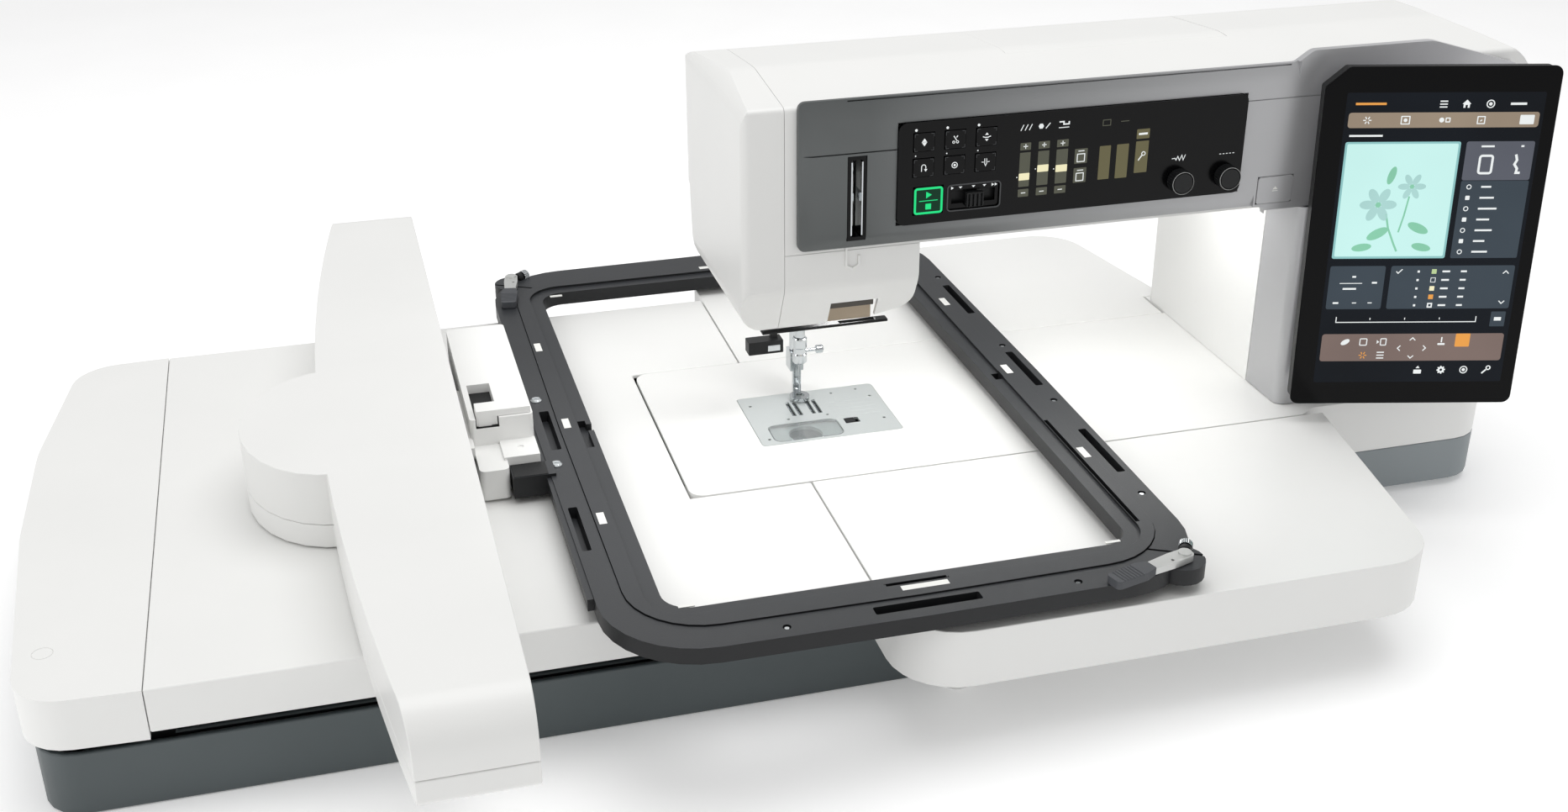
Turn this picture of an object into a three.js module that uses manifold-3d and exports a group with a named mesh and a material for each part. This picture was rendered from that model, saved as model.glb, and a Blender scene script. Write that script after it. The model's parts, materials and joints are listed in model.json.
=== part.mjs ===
// Sewing and embroidery machine with its embroidery unit, extension tables and a two-ring hoop.
// Millimetres, +Z up. While the parts are drawn, the needle axis is x = 0, y = 0 and the table
// that the machine stands on is z = 0. +X runs along the bed, away from the embroidery unit.
// The finished group is moved so that its origin is the middle of its lowest face.
import * as THREE from "three";
import { mergeVertices } from "three/addons/utils/BufferGeometryUtils.js";
import Module from "manifold-3d";

const wasm = await Module();
wasm.setup();

// ---- driving dimensions -------------------------------------------------------------------
const GAP = 0.3; // air left between two pieces that touch
const WALL = 3; // wall of the moulded covers
const BED_TOP = 84; // flat sewing surface above the table
const BASE_TOP = 40; // split between the grey base and the white lower cover
const BED = { x0: -112, x1: 340, y0: -126, y1: 76 };
const BODY_RIGHT = 525;
const BODY_BACK = 112;
const ARM = { x0: -38, bottom: 240, top: 348, front: -97, back: 105 };
const FACE_LEFT = -67;
const HEAD_BOTTOM = 178;
const TRIM_FRONT = -103;
const PANEL = { x0: 37, x1: 290, z0: 256, z1: 327, front: -105 };
const CHANNEL = { x0: 3, x1: 16.5, z0: 248, z1: 307 };
const OPEN_KEY = { x0: 305, x1: 333, z0: 244.6, z1: 265 };
const LID = { x0: 139.3, x1: 309.7, y0: -31, y1: 88, under: 315 };
const SHAFT = { y: -5, z: 268, r: 5 };
const PLATE = { x0: -46, x1: 60, y0: -67, y1: 12.5 };
const BOBBIN_WINDOW = { x0: -36, x1: 17, y0: -64, y1: -37 };
const HOOK = { x: -9.5, y: -50, r: 22 };
const UNIT = { x0: -547, seam: -462, x1: -28, y0: -261, y1: 209, skirt: 54.5, baseTop: 43 };
const TABLE = { front: -332, back: 276, skirt: 44 };
const CARRIAGE = {
  x1: -256, y0: -410, y1: 353, z0: 85.2, split: 102, top: 139, endX: -321, midX: -350,
};
const HOOP = {
  x: -13.5, y: -34.5, bottom: 91, top: 103, window: [150, 252], gap: [171.5, 276], outer: [188.5, 298],
};

// ---- colours ------------------------------------------------------------------------------
const finish = (color, roughness, metalness = 0) =>
  new THREE.MeshStandardMaterial({ color, roughness, metalness });
const WHITE = finish("#eeece6", 0.42);
const BASE_GREY = finish("#7d8589", 0.5);
const SLATE = finish("#56646a", 0.45);
const TRIM_GREY = finish("#85898c", 0.38, 0.3);
const BLACK_GLOSS = finish("#0b0c0e", 0.12);
const BLACK = finish("#202123", 0.45);
const CHARCOAL = finish("#26282b", 0.4);
const STEEL = finish("#b9bcbf", 0.3, 1);
const CHROME = finish("#dcdee0", 0.12, 1);
const CAST = finish("#9a9c9e", 0.55, 0.9);
const CLEAR = finish("#e6ecee", 0.1);

// ---- geometry helpers: every helper gives a closed solid ------------------------------------
function toSolid(geometry) {
  geometry.deleteAttribute("normal");
  geometry.deleteAttribute("uv");
  const merged = mergeVertices(geometry, 1e-5);
  return new wasm.Manifold(new wasm.Mesh({
    numProp: 3,
    vertProperties: new Float32Array(merged.attributes.position.array),
    triVerts: new Uint32Array(merged.index.array),
  }));
}

function box(x0, x1, y0, y1, z0, z1) {
  const g = new THREE.BoxGeometry(x1 - x0, y1 - y0, z1 - z0);
  return toSolid(g.translate((x0 + x1) / 2, (y0 + y1) / 2, (z0 + z1) / 2));
}

// A closed outline from corners [a, b, radius]; round corners become arcs of `steps` chords.
function outline(corners, steps = 5) {
  const points = [];
  corners.forEach(([a, b, r = 0], i) => {
    const corner = new THREE.Vector2(a, b);
    if (!r) return points.push(corner);
    const before = corners.at(i - 1);
    const after = corners[(i + 1) % corners.length];
    const u = new THREE.Vector2(before[0] - a, before[1] - b).normalize();
    const v = new THREE.Vector2(after[0] - a, after[1] - b).normalize();
    const half = Math.acos(THREE.MathUtils.clamp(u.dot(v), -1, 1)) / 2;
    const centre = u.clone().add(v).normalize().multiplyScalar(r / Math.sin(half)).add(corner);
    const start = u.multiplyScalar(r / Math.tan(half)).add(corner).sub(centre);
    const end = v.multiplyScalar(r / Math.tan(half)).add(corner).sub(centre);
    const turn = Math.atan2(start.cross(end), start.dot(end));
    for (let k = 0; k <= steps; k++) {
      points.push(start.clone().rotateAround(new THREE.Vector2(), (turn * k) / steps).add(centre));
    }
  });
  return points;
}

function extruded(points, depth, matrix) {
  const shape = new THREE.Shape(points);
  const g = new THREE.ExtrudeGeometry(shape, { depth, bevelEnabled: false, steps: 1 });
  return toSolid(g.applyMatrix4(matrix));
}

// Prisms: the outline lies in (x, y), (y, z) or (x, z) and runs along the third axis.
function prismZ(points, z0, z1) {
  return extruded(points, z1 - z0, new THREE.Matrix4().makeTranslation(0, 0, z0));
}

function prismX(points, x0, x1) {
  const m = new THREE.Matrix4().set(0, 0, 1, x0, 1, 0, 0, 0, 0, 1, 0, 0, 0, 0, 0, 1);
  return extruded(points, x1 - x0, m);
}

function prismY(points, y0, y1) {
  const m = new THREE.Matrix4().set(1, 0, 0, 0, 0, 0, -1, y1, 0, 1, 0, 0, 0, 0, 0, 1);
  return extruded(points, y1 - y0, m);
}

function rounded(x0, x1, y0, y1, r, steps = 4) {
  return outline([[x0, y0, r], [x1, y0, r], [x1, y1, r], [x0, y1, r]], steps);
}

function inset(corners, d) {
  return corners.map(([a, b, r = 0], i) => {
    const before = corners.at(i - 1);
    const after = corners[(i + 1) % corners.length];
    const e = new THREE.Vector2(a - before[0], b - before[1]).normalize();
    const f = new THREE.Vector2(after[0] - a, after[1] - b).normalize();
    const n = new THREE.Vector2(-e.y - f.y, e.x + f.x);
    const k = d / (1 + e.dot(f));
    return [a + n.x * k, b + n.y * k, Math.max(r - d, 0)];
  });
}

function cylinder(axis, centre, r, from, to, segments = 24) {
  const g = new THREE.CylinderGeometry(r, r, to - from, segments);
  const middle = (from + to) / 2;
  if (axis === "x") g.rotateZ(-Math.PI / 2).translate(middle, ...centre);
  if (axis === "y") g.translate(centre[0], middle, centre[1]);
  if (axis === "z") g.rotateX(Math.PI / 2).translate(...centre, middle);
  return toSolid(g);
}

const join = (first, ...rest) => rest.reduce((a, b) => a.add(b), first);
const cut = (first, ...rest) => rest.reduce((a, b) => a.subtract(b), first);

const machine = new THREE.Group();
function node(name, solid, material) {
  const { vertProperties, triVerts, numProp } = solid.getMesh();
  if (numProp !== 3) throw new Error(name);
  const g = new THREE.BufferGeometry();
  g.setAttribute("position", new THREE.BufferAttribute(new Float32Array(vertProperties), 3));
  g.setIndex(new THREE.BufferAttribute(new Uint32Array(triVerts), 1));
  g.computeVertexNormals();
  const mesh = new THREE.Mesh(g, material);
  mesh.name = name;
  machine.add(mesh);
}

// ---- machine body -------------------------------------------------------------------------
const BODY_PLAN = [
  [BED.x0, BED.y0, 10], [352, BED.y0], [366, -118, 8], [BODY_RIGHT, -118, 30],
  [BODY_RIGHT, BODY_BACK, 30], [BED.x1, BODY_BACK], [BED.x1, BED.y1], [BED.x0, BED.y1, 10],
];
const INLET = { y0: 30, y1: 72, z1: 76, socket: { y0: 41, y1: 61, z0: 53, z1: 69 } };
const POST = { x0: 440, x1: 500, y0: -30, y1: 60 };

function makeBase() {
  const tray = cut(
    prismZ(outline(BODY_PLAN), 5, BASE_TOP - GAP),
    prismZ(outline(inset(BODY_PLAN, WALL)), 9, BASE_TOP + 1),
  );
  const feet = [[-90, -104], [-90, 54], [500, -92], [500, 88]];
  node("machine_base", join(tray, ...feet.map((p) => cylinder("z", p, 13, 0, 6, 20))), BASE_GREY);
}

function makeLowerCover() {
  const skin = 4;
  const shell = cut(
    prismZ(outline(BODY_PLAN), BASE_TOP, BED_TOP),
    prismZ(outline(inset(BODY_PLAN, WALL)), BASE_TOP - 1, BED_TOP - skin),
    prismZ(rounded(PLATE.x0 - GAP, PLATE.x1 + GAP, PLATE.y0 - GAP, PLATE.y1 + GAP, 3), 81.7, 90),
    box(PLATE.x0 + 3, PLATE.x1 - 3, PLATE.y0 + 3, PLATE.y1 - 3, 70, 90),
    box(385, POST.x1 + 5, -80, 90, 70, 90),
    box(BODY_RIGHT - 12, BODY_RIGHT + 8, INLET.y0, INLET.y1, BASE_TOP - 1, INLET.z1),
  );
  node("lower_cover", shell, WHITE);
}

function makeColumn() {
  const plan = [
    [340, -61.5], [376, -61.5], [376, -112], [BODY_RIGHT, -112, 30],
    [BODY_RIGHT, BODY_BACK, 30], [340, BODY_BACK, 12],
  ];
  const trim = [[340, -108, 8], [375.7, -108], [375.7, -61.8], [340, -61.8]];
  const [z0, z1] = [BED_TOP + GAP, ARM.bottom - GAP];
  const tube = (corners) => cut(
    prismZ(outline(corners), z0, z1),
    prismZ(outline(inset(corners, WALL)), z0 - 1, z1 + 1),
  );
  node("column_cover", tube(plan), WHITE);
  node("column_trim", tube(trim), TRIM_GREY);
}

// Top of the arm and the head across their length, in (y, z), from the back to the front.
const CROWN = [[ARM.back, 306, 36], [66, 340, 40], [-20, ARM.top, 80], [ARM.front, 341, 4]];
const ARM_SECTION = [[ARM.front, ARM.bottom], [ARM.back, ARM.bottom, 8], ...CROWN];
const ARM_END = [
  [-200, ARM.bottom - 5], [BODY_RIGHT, ARM.bottom - 5], [BODY_RIGHT, ARM.top, 48], [-200, ARM.top + 1],
];

function armShell() {
  const outer = prismX(outline(ARM_SECTION), ARM.x0, BODY_RIGHT)
    .intersect(prismY(outline(ARM_END, 8), -150, 150));
  const inner = prismX(outline(inset(ARM_SECTION, WALL)), ARM.x0 - 1, BODY_RIGHT - WALL)
    .intersect(prismY(outline(inset(ARM_END, WALL), 8), -150, 150));
  return cut(outer, inner);
}

function makeArm() {
  const shell = cut(
    armShell(),
    box(ARM.x0 - 1, 52, -85, 50, ARM.bottom - 1, ARM.bottom + 5),
    box(380, 510, -55, 100, ARM.bottom - 1, ARM.bottom + 5),
    box(LID.x0, LID.x1, LID.y0, LID.y1, LID.under, 360),
    box(CHANNEL.x0, CHANNEL.x1, -100, -90, CHANNEL.z0, CHANNEL.z1),
    cylinder("x", [SHAFT.y, SHAFT.z], 9, BODY_RIGHT - 12, BODY_RIGHT + 8),
  );
  node("arm_cover", shell, WHITE);
}

function makeLid() {
  const piece = armShell().intersect(
    box(LID.x0 + GAP, LID.x1 - GAP, LID.y0 + GAP, LID.y1 - GAP, LID.under, 360));
  node("top_lid", piece, WHITE);

  const tray = { x0: 143, x1: 306, y0: -26, y1: 60, z0: 298, z1: 330 };
  const shell = cut(
    prismZ(rounded(tray.x0, tray.x1, tray.y0, tray.y1, 10), tray.z0, tray.z1),
    prismZ(rounded(tray.x0 + 2.5, tray.x1 - 2.5, tray.y0 + 2.5, tray.y1 - 2.5, 8), tray.z0 + 3, 340),
  );
  const legs = [152, 288].map((x) => box(x, x + 10, 34, 54, BEAM.z1 + GAP, tray.z0 + 1));
  node("spool_tray", join(shell, ...legs), WHITE);

  const pin = [272, 8];
  const floor = tray.z0 + 3 + GAP;
  node("spool_pin", join(
    cylinder("z", pin, 12, floor, floor + 3),
    cylinder("z", pin, 3, floor + 2, tray.z1 - 2, 16),
  ), CHROME);
}

// Left end of the arm and the head: outlines in (x, z), (x, y) and (y, z).
const FACE_FRONT = [[FACE_LEFT, HEAD_BOTTOM, 24], [0, HEAD_BOTTOM], [0, 360], [FACE_LEFT, ARM.top, 26]];
const FACE_PLAN = [[FACE_LEFT, ARM.front, 6], [0, ARM.front], [0, ARM.back], [FACE_LEFT, ARM.back, 45]];
const HEAD_SIDE = [
  [-78, HEAD_BOTTOM, 10], [52, HEAD_BOTTOM, 10], [62, ARM.bottom], [ARM.back, ARM.bottom, 8],
  ...CROWN, [ARM.front, 215, 20],
];

function makeHead() {
  const form = (d, right) => prismX(outline(inset(HEAD_SIDE, d)), -120, right)
    .intersect(prismY(outline(inset(FACE_FRONT, d), 6), -150, 150))
    .intersect(prismZ(outline(inset(FACE_PLAN, d), 6), 100, 400));
  node("face_cover", cut(form(0, ARM.x0 - GAP), form(WALL, -10)), WHITE);

  const top = ARM.bottom - GAP;
  const front = [
    [ARM.x0, HEAD_BOTTOM], [18, HEAD_BOTTOM + 2, 20], [57, 190, 14], [57, top], [ARM.x0, top],
  ];
  const side = [
    [-78, HEAD_BOTTOM, 10], [52, HEAD_BOTTOM, 10], [62, top], [ARM.front, top], [ARM.front, 215, 20],
  ];
  const inside = [
    [-72, HEAD_BOTTOM - 5], [48, HEAD_BOTTOM - 5], [58, ARM.bottom + 1],
    [ARM.front + WALL, ARM.bottom + 1], [ARM.front + WALL, 216, 17],
  ];
  const body = prismY(outline(front), -150, 150).intersect(prismX(outline(side), -60, 80));
  const room = prismX(outline(inside), -60, 54);
  node("needle_area_cover", cut(body, room), WHITE);
  node("needle_lamp", prismZ(rounded(24, 54 - GAP, -40, -24, 4), 194, 199), CLEAR);
}

function makeTrim() {
  const face = [
    [-30, 243, 5], [313, 243, 6], [313, 239.7], [500, 239.7], [500, 332], [484, 337, 20],
    [430, 353, 30], [337, 353, 10], [325, 345, 6], [-30, 345, 5],
  ];
  const plate = cut(
    prismY(outline(face), TRIM_FRONT, ARM.front - GAP),
    box(PANEL.x0, PANEL.x1, -110, -90, PANEL.z0, PANEL.z1),
    box(CHANNEL.x0, CHANNEL.x1, -110, -90, CHANNEL.z0, CHANNEL.z1),
    box(OPEN_KEY.x0, OPEN_KEY.x1, -110, -90, OPEN_KEY.z0, OPEN_KEY.z1),
  );
  node("front_trim", plate, TRIM_GREY);

  const c = CHANNEL;
  const channel = cut(
    box(c.x0 + GAP, c.x1 - GAP, -102.6, -84, c.z0 + GAP, c.z1 - GAP),
    box(c.x0 + 3, c.x1 - 3, -104, -86, c.z0 + 3, c.z1 - 3),
    box(7, 13, -90, -80, 252, 303),
  );
  node("thread_channel", channel, BLACK_GLOSS);
}

// ---- control panel ------------------------------------------------------------------------
const KEY = { w: 15, h: 13, xs: [54.6, 76.3, 98.2], zs: [313.3, 295.8] };
const START = { x0: 48, x1: 69.4, z0: 262.8, z1: 282.6 };
const SLIDER = { x0: 73, x1: 109.5, z0: 264, z1: 281 };
const DIALS = [["dial_left", 241.6], ["dial_right", 277.4]];
const DIAL_Z = 269.8;

function makePanel() {
  const p = PANEL;
  const holes = KEY.zs.flatMap((z) => KEY.xs.map((x) =>
    box(x - KEY.w / 2, x + KEY.w / 2, -110, -95, z - KEY.h / 2, z + KEY.h / 2)));
  const panel = cut(prismY(rounded(p.x0 + GAP, p.x1 - GAP, p.z0 + GAP, p.z1 - GAP, 5), p.front, -99.5),
    ...holes, box(START.x0, START.x1, -110, -95, START.z0, START.z1),
    box(SLIDER.x0, SLIDER.x1, -110, -95, SLIDER.z0, SLIDER.z1),
    ...DIALS.map(([, x]) => cylinder("y", [x, DIAL_Z], 5, -110, -95)));
  node("control_panel", panel, BLACK_GLOSS);

  const proud = p.front - 0.8;
  KEY.zs.forEach((z, row) => KEY.xs.forEach((x, column) => {
    const [w, h] = [KEY.w / 2 - GAP, KEY.h / 2 - GAP];
    const key = prismY(rounded(x - w, x + w, z - h, z + h, 2), proud, -101);
    node(`function_key_${row * 3 + column + 1}`, key, BLACK);
  }));
  const button = rounded(START.x0 + GAP, START.x1 - GAP, START.z0 + GAP, START.z1 - GAP, 2.5);
  node("start_stop_button", prismY(button, proud, -101), BLACK);
  const middle = (SLIDER.x0 + SLIDER.x1) / 2;
  node("speed_slider", join(
    box(middle - 6, middle + 6, -108, -104, 266, 279),
    box(middle - 3, middle + 3, -105, -100, 269, 276),
  ), BLACK);
  for (const [name, x] of DIALS) {
    const knob = cylinder("y", [x, DIAL_Z], 8.6, -113.5, p.front - GAP, 32);
    node(name, join(knob, cylinder("y", [x, DIAL_Z], 4.5, -106, -100, 16)), BLACK_GLOSS);
  }
  const o = OPEN_KEY;
  const plan = rounded(o.x0 + GAP, o.x1 - GAP, o.z0 + GAP, o.z1 - GAP, 2);
  node("lid_open_button", prismY(plan, -103.9, -99), TRIM_GREY);
}

// ---- touch screen -------------------------------------------------------------------------
const SCREEN = { w: 161, h: 247, thick: 15, corner: [333, -136.5, 100], turn: -15, lean: -3.6 };

function makeScreen() {
  const { w, h, thick, corner, turn, lean } = SCREEN;
  const place = (solid) => solid.rotate([lean, 0, turn]).translate(corner);
  const edge = [[0, 0, 6], [w, 0, 6], [w, h, 6], [16, h, 4], [0, h - 14, 4]];
  node("screen_glass", place(prismY(outline(edge), 0, 2)), BLACK_GLOSS);

  const back = place(prismY(outline(inset(edge, 1.5)), 2 + GAP, thick));
  const neck = [[394.6, -138.5], [467, -157.9], [467, -112 - GAP], [394.6, -112 - GAP]];
  node("screen_housing", join(back, prismZ(outline(neck), 142, 218)), TRIM_GREY);
}

// ---- needle, foot and thread path -----------------------------------------------------------
const CLAMP = { z0: 115, z1: 135.7, screwZ: 124 };
const PRESSER_Y = 14;
const TAKE_UP = { x: 10, y: -40, z: 275 };

function makeNeedleParts() {
  node("needle_bar", cylinder("z", [0, 0], 4, 136, 300, 20), CHROME);
  node("needle_clamp", join(
    cylinder("z", [0, 0], 5.5, CLAMP.z0, CLAMP.z1, 20),
    cylinder("x", [0, CLAMP.screwZ], 1.6, 3, 13, 12),
    cylinder("x", [0, CLAMP.screwZ], 3.3, 12, 18, 16),
  ), CHROME);
  const top = CLAMP.z0 - GAP;
  const profile = [[0, 88.5], [0.25, 90], [0.6, 93], [0.6, 104], [1.1, 105], [1.1, top], [0, top]];
  const turned = new THREE.LatheGeometry(profile.map(([r, z]) => new THREE.Vector2(r, z)), 10);
  node("needle", toSolid(turned.rotateX(Math.PI / 2)), STEEL);

  node("presser_bar", cylinder("z", [0, PRESSER_Y], 4, 120, 290, 20), CHROME);
  const ring = cut(cylinder("z", [0, 0], 7.5, 85.6, 87.6), cylinder("z", [0, 0], 3.6, 80, 90));
  const shank = box(-3, 3, 6.8, 10, 85.6, 119);
  node("embroidery_foot", join(ring, shank, box(-5, 5, 7.5, 20, 104.5, 120 - GAP)), CHROME);

  node("needle_threader", join(
    box(-26.5, -21.5, -16.5, -11.5, 142, 236),
    box(-44, -18, -20, -9, 134, 144),
    box(-24, -8, -15.5, -12.5, 148, 154),
  ), BLACK);

  const t = TAKE_UP;
  const lever = join(
    cylinder("x", [t.y, t.z], 7, t.x - 1.5, t.x + 1.5, 16),
    box(t.x - 1, t.x + 1, -92, t.y, t.z - 3, t.z + 3),
  );
  const eye = box(t.x - 5, t.x + 5, -90.5, -87, t.z - 1.5, t.z + 1.5);
  node("take_up_lever", cut(lever, eye, cylinder("x", [t.y, t.z], 3, t.x - 5, t.x + 5, 16)), CHROME);
}

// ---- bobbin area --------------------------------------------------------------------------
const LATCH = { x0: 22, x1: 33.2, y0: -48, y1: -40 };
const FEED_ROWS = [-11, -6, 4, 9];

function makeBobbinArea() {
  const p = PLATE;
  const w = BOBBIN_WINDOW;
  const plate = cut(
    prismZ(rounded(p.x0, p.x1, p.y0, p.y1, 3), 82, BED_TOP),
    prismZ(rounded(w.x0, w.x1, w.y0, w.y1, 6), 80, 90),
    box(-5, 5, -1.2, 1.2, 80, 90),
    box(LATCH.x0, LATCH.x1, LATCH.y0, LATCH.y1, 80, 90),
    ...FEED_ROWS.map((x) => box(x - 1.6, x + 1.6, -26, -2.5, 80, 90)),
  );
  node("needle_plate", plate, STEEL);
  const pane = rounded(w.x0 + 0.5, w.x1 - 0.5, w.y0 + 0.5, w.y1 - 0.5, 5.5);
  node("bobbin_cover", prismZ(pane, 82.2, BED_TOP), CLEAR);
  const latch = box(LATCH.x0 + GAP, 29.6, LATCH.y0 + GAP, LATCH.y1 - GAP, 82.2, 84.4);
  node("cover_latch", latch, BLACK);

  const teeth = [];
  for (let y = -5; y > -26; y -= 2) teeth.push([y + 2, 81.8], [y, 82.8]);
  const row = [[-25, 74], [-3.3, 74], [-3.3, 81.8], ...teeth.slice(1)];
  const bars = FEED_ROWS.map((x) => prismX(outline(row), x - 1, x + 1));
  node("feed_dog", join(box(-13, 11, -25, -3.3, 71, 75), ...bars), STEEL);

  const h = [HOOK.x, HOOK.y];
  const cup = cut(cylinder("z", h, HOOK.r, 48, 67, 32), cylinder("z", h, HOOK.r - 2, 50.5, 70, 32));
  node("rotary_hook", join(cup, cylinder("z", h, 4, 28, 49, 16)), STEEL);
  const spool = join(
    cylinder("z", h, 10.2, 52, 53.2, 24),
    cylinder("z", h, 4.5, 53, 62.5, 20),
    cylinder("z", h, 10.2, 62, 63.2, 24),
  );
  node("bobbin", cut(spool, cylinder("z", h, 3, 50, 66, 16)), CLEAR);
}

// ---- drive and frame inside the covers -----------------------------------------------------
const BEAM = { y0: 24, y1: 60, z0: 250, z1: 262 };

function makeInside() {
  const s = [SHAFT.y, SHAFT.z];
  const rod = cylinder("x", s, SHAFT.r, 18, BODY_RIGHT + 0.2);
  node("upper_shaft", join(rod, cylinder("x", s, 13, 14.5, 19)), STEEL);
  const wheel = cut(
    cylinder("x", s, 30, BODY_RIGHT + 1, BODY_RIGHT + 19, 40),
    cylinder("x", s, 23, BODY_RIGHT + 14, BODY_RIGHT + 30, 40),
  );
  node("handwheel", wheel, WHITE);

  const guide = cut(
    box(-12, 12, -10, BEAM.y1, BEAM.z0, BEAM.z1),
    cylinder("z", [0, 0], 4.1, 240, 270, 20),
    cylinder("z", [0, PRESSER_Y], 4.1, 240, 270, 20),
  );
  const t = TAKE_UP;
  const bracket = box(4.8, t.x - 1.8, t.y - 6, -8, BEAM.z0, t.z + 6);
  const frame = join(
    guide,
    bracket,
    cylinder("x", [t.y, t.z], 2.6, t.x - 2, t.x + 2.5, 16),
    box(-12, POST.x1, BEAM.y0, BEAM.y1, BEAM.z0, BEAM.z1),
    box(POST.x0, POST.x1, POST.y0, POST.y1, 9 + GAP, BEAM.z1),
    box(-90, POST.x1, -20, POST.y1, 9 + GAP, 20),
  );
  node("chassis_frame", frame, CAST);
  node("main_motor", cylinder("x", [-25, 170], 33, 385, POST.x0 - GAP, 28), BLACK);

  const i = INLET;
  const k = i.socket;
  node("power_inlet", cut(
    join(
      box(BODY_RIGHT - WALL, BODY_RIGHT, i.y0 + GAP, i.y1 - GAP, BASE_TOP, i.z1 - GAP),
      box(BODY_RIGHT - 17, BODY_RIGHT - 1, k.y0 - 3, k.y1 + 3, k.z0 - 3, k.z1 + 3),
    ),
    box(BODY_RIGHT - 13, BODY_RIGHT + 8, k.y0, k.y1, k.z0, k.z1),
  ), BLACK);
}

// ---- extension tables ---------------------------------------------------------------------
function tableSolid(plan, legs) {
  const top = prismZ(outline(plan, 7), TABLE.skirt, BED_TOP);
  const hollow = prismZ(outline(inset(plan, WALL + 0.5), 7), TABLE.skirt - 1, BED_TOP - 4);
  return join(cut(top, hollow), ...legs.map((p) => cylinder("z", p, 10, 0, BED_TOP - 3, 16)));
}

function makeTables() {
  const front = [[-27, TABLE.front, 42], [331, TABLE.front, 40], [368, -127.3], [-27, -127.3]];
  node("front_table", tableSolid(front, [[30, -265], [286, -240], [325, -160]]), WHITE);
  const rear = [
    [-27, 77.3], [338.5, 77.3], [338.5, 113.5], [358, 113.5], [331, TABLE.back, 40], [-27, TABLE.back, 42],
  ];
  node("rear_table", tableSolid(rear, [[20, 245], [290, 240]]), WHITE);
}

// ---- embroidery unit ----------------------------------------------------------------------
const X_RAIL = { x0: -440, x1: -60, y0: -236, y1: -226, z0: 44, z1: 58 };

function makeUnit() {
  const u = UNIT;
  const plan = [
    [u.seam, u.y0], [u.x1, u.y0], [u.x1, -127.3], [-113.3, -127.3],
    [-113.3, 77.3], [u.x1, 77.3], [u.x1, u.y1], [u.seam, u.y1],
  ];
  node("unit_cover", cut(
    prismZ(outline(plan), u.skirt, BED_TOP),
    prismZ(outline(inset(plan, WALL)), u.skirt - 1, BED_TOP - WALL),
  ), WHITE);

  const cap = [
    [u.x0 + 14, u.y0 + 3, 32], [u.seam - GAP, u.y0], [u.seam - GAP, u.y1],
    [u.x0 + 18, u.y1 - 3, 34], [u.x0, 60, 200], [u.x0, -60, 200],
  ];
  const room = inset(cap, WALL).map(([x, ...rest]) => [x > -470 ? -400 : x, ...rest]);
  node("unit_end_cap", cut(
    prismZ(outline(cap, 6), 50, BED_TOP),
    prismZ(outline(room, 6), 40, BED_TOP - WALL),
  ), WHITE);

  const base = [
    [-530, -254, 26], [40, -254], [40, -130], [-116, -130],
    [-116, 80], [-31, 80], [-31, 203], [-530, 203, 26],
  ];
  const pan = cut(prismZ(outline(base), 0, u.baseTop), prismZ(outline(inset(base, 4)), 4, 60));
  const riser = cut(
    prismZ(outline(inset(base, 8)), u.baseTop - 30, BED_TOP - WALL - GAP),
    prismZ(outline(inset(base, 11)), 0, 90),
    box(-34, 50, -260, -120, u.baseTop, 90),
    box(u.seam - 1, u.seam + WALL + 1, -260, 210, u.skirt - 1, 90),
    box(-450, -100, -255, -238, u.baseTop, u.skirt + 1),
  );
  const web = [-500, -80].map((x) => box(x, x + 6, -252, 201, 3, u.baseTop - 2));
  node("unit_base", join(pan, riser, ...web.map((w) => w.intersect(prismZ(outline(base), 0, 90)))), SLATE);

  const r = X_RAIL;
  const posts = [r.x0 + 2, r.x1 - 12].map((x) => box(x, x + 10, r.y0 - 2, r.y1 + 2, 4 + GAP, r.z0 + 2));
  node("x_rail", join(box(r.x0, r.x1, r.y0, r.y1, r.z0, r.z1), ...posts), STEEL);
}

// ---- carriage arm of the unit ---------------------------------------------------------------
const MOTOR_BULGE = { y: -52, half: 80, x: -402 };
const Y_RAIL = { x0: -304, x1: -294, z0: 106, z1: 118 };

// Plan of the arm, drawn in by d on every side: a straight right side and a bowed left side.
function carriagePlan(d) {
  const c = CARRIAGE;
  const points = [new THREE.Vector2(c.x1 - d, c.y0 + d), new THREE.Vector2(c.x1 - d, c.y1 - d)];
  const middle = (c.y0 + c.y1) / 2;
  const half = (c.y1 - c.y0) / 2;
  for (let k = 0; k <= 16; k++) {
    const y = c.y1 - d - (k / 16) * (c.y1 - c.y0 - 2 * d);
    const s = (y - middle) / half;
    points.push(new THREE.Vector2(c.midX + (c.endX - c.midX) * s * s + d, y));
  }
  return points;
}

function bulge(d, z0, z1) {
  const b = MOTOR_BULGE;
  const round = new THREE.EllipseCurve(
    -340, b.y, -340 - b.x - d, b.half - d, Math.PI / 2, 1.5 * Math.PI);
  const square = [b.y - b.half + d, b.y + b.half - d].map((y) => new THREE.Vector2(-300, y));
  return prismZ([...round.getPoints(14), ...square], z0, z1);
}

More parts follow.
